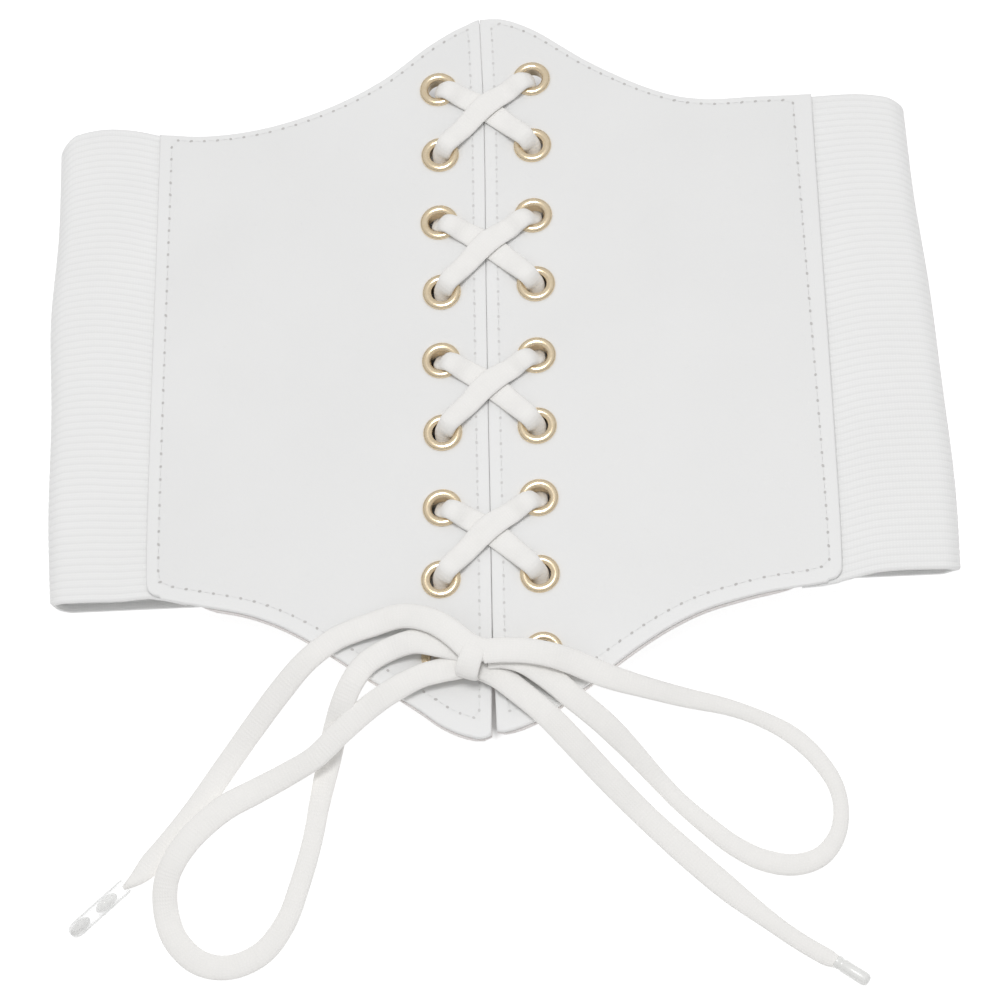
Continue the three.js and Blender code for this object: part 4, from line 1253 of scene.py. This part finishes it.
# %% Ribbed elastic, woven
def elastic_material():
    made, tree, surface = new_material(
        "White ribbed elastic, woven", Roughness=0.85, Sheen_Weight=0.2, Specular_IOR_Level=0.3)
    place = add(tree, "ShaderNodeAttribute", attribute_name="fabric").outputs["Vector"]
    parts = add(tree, "ShaderNodeSeparateXYZ", {0: place})
    along, rib, relief = parts.outputs
    picks = wave(tree, along, 0.9)
    ends = wave(tree, rib, 1 / 3)
    dots = math_node(tree, "MULTIPLY", picks, ends)
    spot = add(tree, "ShaderNodeTexCoord").outputs["Object"]
    fuzz = add(tree, "ShaderNodeTexNoise", {"Vector": spot, "Scale": 900.0, "Detail": 3.0})
    cloud = add(tree, "ShaderNodeTexNoise", {"Vector": spot, "Scale": 30.0, "Detail": 3.0})
    tone = math_node(tree, "MULTIPLY_ADD", dots, 0.5, math_node(tree, "MULTIPLY", cloud.outputs[0], 0.5))
    face = blend_colours(tree, tone, linear("#e9e9e8"), linear("#f3f3f2"))
    # Painted shade: the colour darkens in the rib valleys and along the strip's edges, by the relief.
    valley_shade = add(tree, "ShaderNodeMapRange", {0: relief, 1: 0.02, 2: RIB_DEPTH, 3: 0.0, 4: 0.3})
    colour = blend_colours(tree, valley_shade.outputs[0], face, linear("#d8d8d7"))
    tree.links.new(colour, surface.inputs["Base Color"])
    bump(tree, surface, math_node(tree, "MULTIPLY_ADD", fuzz.outputs[0], 0.6, dots), 0.00005, 0.6)
    return made


own(elastic_band(), elastic_material(), "elastic", "elastic_band")

# %% [markdown]
# ## Eyelets
# A two-part eyelet is stamped from brass and plated pale gold. Its barrel goes through the
# leather and its rim is rolled over, so the rim is a round bead with a soft highlight.


# %% Pale gold brass, stamped and plated
def gold_material():
    made, tree, surface = new_material(
        "Pale gold brass, stamped and plated", Metallic=1.0, Roughness=0.2)
    spot = add(tree, "ShaderNodeTexCoord").outputs["Object"]
    cloud = add(tree, "ShaderNodeTexNoise", {"Vector": spot, "Scale": 700.0, "Detail": 4.0})
    colour = blend_colours(tree, cloud.outputs[0], linear("#eed7b0"), linear("#f7e8cd"))
    tree.links.new(colour, surface.inputs["Base Color"])
    rough = math_node(tree, "MULTIPLY_ADD", cloud.outputs[0], 0.06, 0.22)
    tree.links.new(rough, surface.inputs["Roughness"])
    bump(tree, surface, cloud.outputs[0], 0.00002, 0.12)
    return made


GOLD = gold_material()


# %% Eyelets
# The rolled rim: radius and height of the middle of its bead, and how far it bulges
BEAD = {"radius": 4.66, "height": 13.42, "out": 1.34, "up": 0.98}
# Radius and height along the rest of the metal in mm: the barrel's outside, then its bore
BARREL = [(3.65, 9.4), (5.5, 9.4), (5.6, 9.6), (5.5, 10.0), (4.25, 10.05), (4.2, 13.0),
          (4.5, 13.25), (5.8, 13.1)]
BORE = [(3.42, 13.0), (3.6, 12.4)]


def rim_profile():
    """Closed profile of an eyelet: barrel, rolled rim on the face and flat rim behind."""
    bead = []
    for angle in np.linspace(180, -20, 13):
        a = math.radians(angle)
        bead.append((BEAD["radius"] + BEAD["out"] * math.cos(a),
                     BEAD["height"] + BEAD["up"] * math.sin(a)))
    return BARREL + bead[::-1] + BORE


def eyelet(side, row):
    mesh = bmesh.new()
    x, y = CENTRES[side, row]
    spin_profile(mesh, rim_profile(), 40, Matrix.Translation((x * MM, y * MM, 0)))
    node = f"eyelet_{side}_{row + 1}"
    return own(finish_mesh(f"{node}_rim", mesh), GOLD, "eyelet", node)


for side in ("left", "right"):
    for row in range(ROWS):
        eyelet(side, row)
print("eyelets:", 2 * ROWS)

# %% [markdown]
# ## Table and light
# The photograph is a catalogue shot: the table is blown out to pure white and a soft light
# from above leaves only thin grey lines under the lace. The table's slight glow is painted light that
# keeps it white, and the sky is darker towards the horizon, which gives the brass its contrast.


# %% Table
# The table doesn't glow under the belt, so that no light comes up through the eyelets. That
# patch is an oval above PATCH_MIDDLE with slanting sides below it. Its sizes are in metres
PATCH_MIDDLE, PATCH_OUT, PATCH_UP = 0.010, 0.082, 0.080
PATCH_SLANT, PATCH_LOW, PATCH_LOWEST = -0.62, -0.1142, -0.1182
PAINTED_GLOW = 0.85


def table():
    """A wide white table whose painted glow leaves out the place where the belt lies."""
    mesh = bmesh.new()
    bmesh.ops.create_grid(mesh, x_segments=1, y_segments=1, size=3.0)
    piece = finish_mesh("table_top", mesh)
    piece.location.z = -0.0002
    made, tree, surface = new_material(
        "White table, painted glow", Roughness=0.9, Specular_IOR_Level=0.0,
        Emission_Color=(1, 1, 1, 1))
    spot = add(tree, "ShaderNodeTexCoord").outputs["Object"]
    parts = add(tree, "ShaderNodeSeparateXYZ", {0: spot}).outputs
    out = math_node(tree, "ABSOLUTE", parts[0])
    up = math_node(tree, "MAXIMUM", math_node(tree, "SUBTRACT", parts[1], PATCH_MIDDLE), 0.0)
    wide = math_node(tree, "MULTIPLY", out, 1 / PATCH_OUT)
    tall = math_node(tree, "MULTIPLY", up, 1 / PATCH_UP)
    square = math_node(tree, "MULTIPLY_ADD", wide, wide, math_node(tree, "MULTIPLY", tall, tall))
    above = add(tree, "ShaderNodeMapRange", {0: square, 1: 1.25, 2: 1.64, 3: 0.0, 4: 1.0})
    edge = math_node(tree, "MULTIPLY_ADD", out, PATCH_SLANT, parts[1])
    below = add(tree, "ShaderNodeMapRange", {
        0: edge, 1: PATCH_LOW, 2: PATCH_LOWEST, 3: 0.0, 4: 1.0})
    clear = math_node(tree, "MAXIMUM", above.outputs[0], below.outputs[0])
    colour = blend_colours(tree, clear, (0.6, 0.6, 0.6, 1), (0.3, 0.3, 0.3, 1))
    tree.links.new(colour, surface.inputs["Base Color"])
    # The glow is painted light: it keeps the table white and hides the shadows on it.
    tree.links.new(math_node(tree, "MULTIPLY", clear, PAINTED_GLOW), surface.inputs["Emission Strength"])
    piece.data.materials.append(made)


table()


# %% Sky and lamp
def sky():
    world = bpy.data.worlds.new("studio_sky")
    bpy.context.scene.world = world
    world.use_nodes = True
    tree = world.node_tree
    direction = add(tree, "ShaderNodeTexCoord").outputs["Generated"]
    parts = add(tree, "ShaderNodeSeparateXYZ", {0: direction})
    height = add(tree, "ShaderNodeMapRange", {0: parts.outputs[2], 1: 0.05, 2: 0.35, 3: 0.0, 4: 1.0})
    behind = add(tree, "ShaderNodeMapRange", {0: parts.outputs[1], 1: -0.7, 2: 0.7, 3: 0.0, 4: 1.0})
    share = math_node(tree, "MULTIPLY_ADD", height.outputs[0], 0.85, math_node(
        tree, "MULTIPLY", behind.outputs[0], 0.15))
    colour = blend_colours(tree, share, (0.10, 0.095, 0.09, 1), (0.92, 0.92, 0.93, 1))
    tree.links.new(colour, tree.nodes["Background"].inputs["Color"])
    tree.nodes["Background"].inputs["Strength"].default_value = 0.72


def lamp(name, size, energy, place):
    data = bpy.data.lights.new(name, "AREA")
    data.size, data.energy = size, energy
    piece = bpy.data.objects.new(name, data)
    piece.location = place
    piece.rotation_euler = (-Vector(place)).to_track_quat("-Z", "Y").to_euler()
    bpy.context.collection.objects.link(piece)


sky()
lamp("soft_key", 0.5, 10.0, (0.0, 0.0, 1.6))
bpy.context.scene.view_settings.view_transform = "Standard"
print("light and table ready")

# %% Corners of a box
def corners(box):
    return [[float(v) for v in corner] for corner in box]
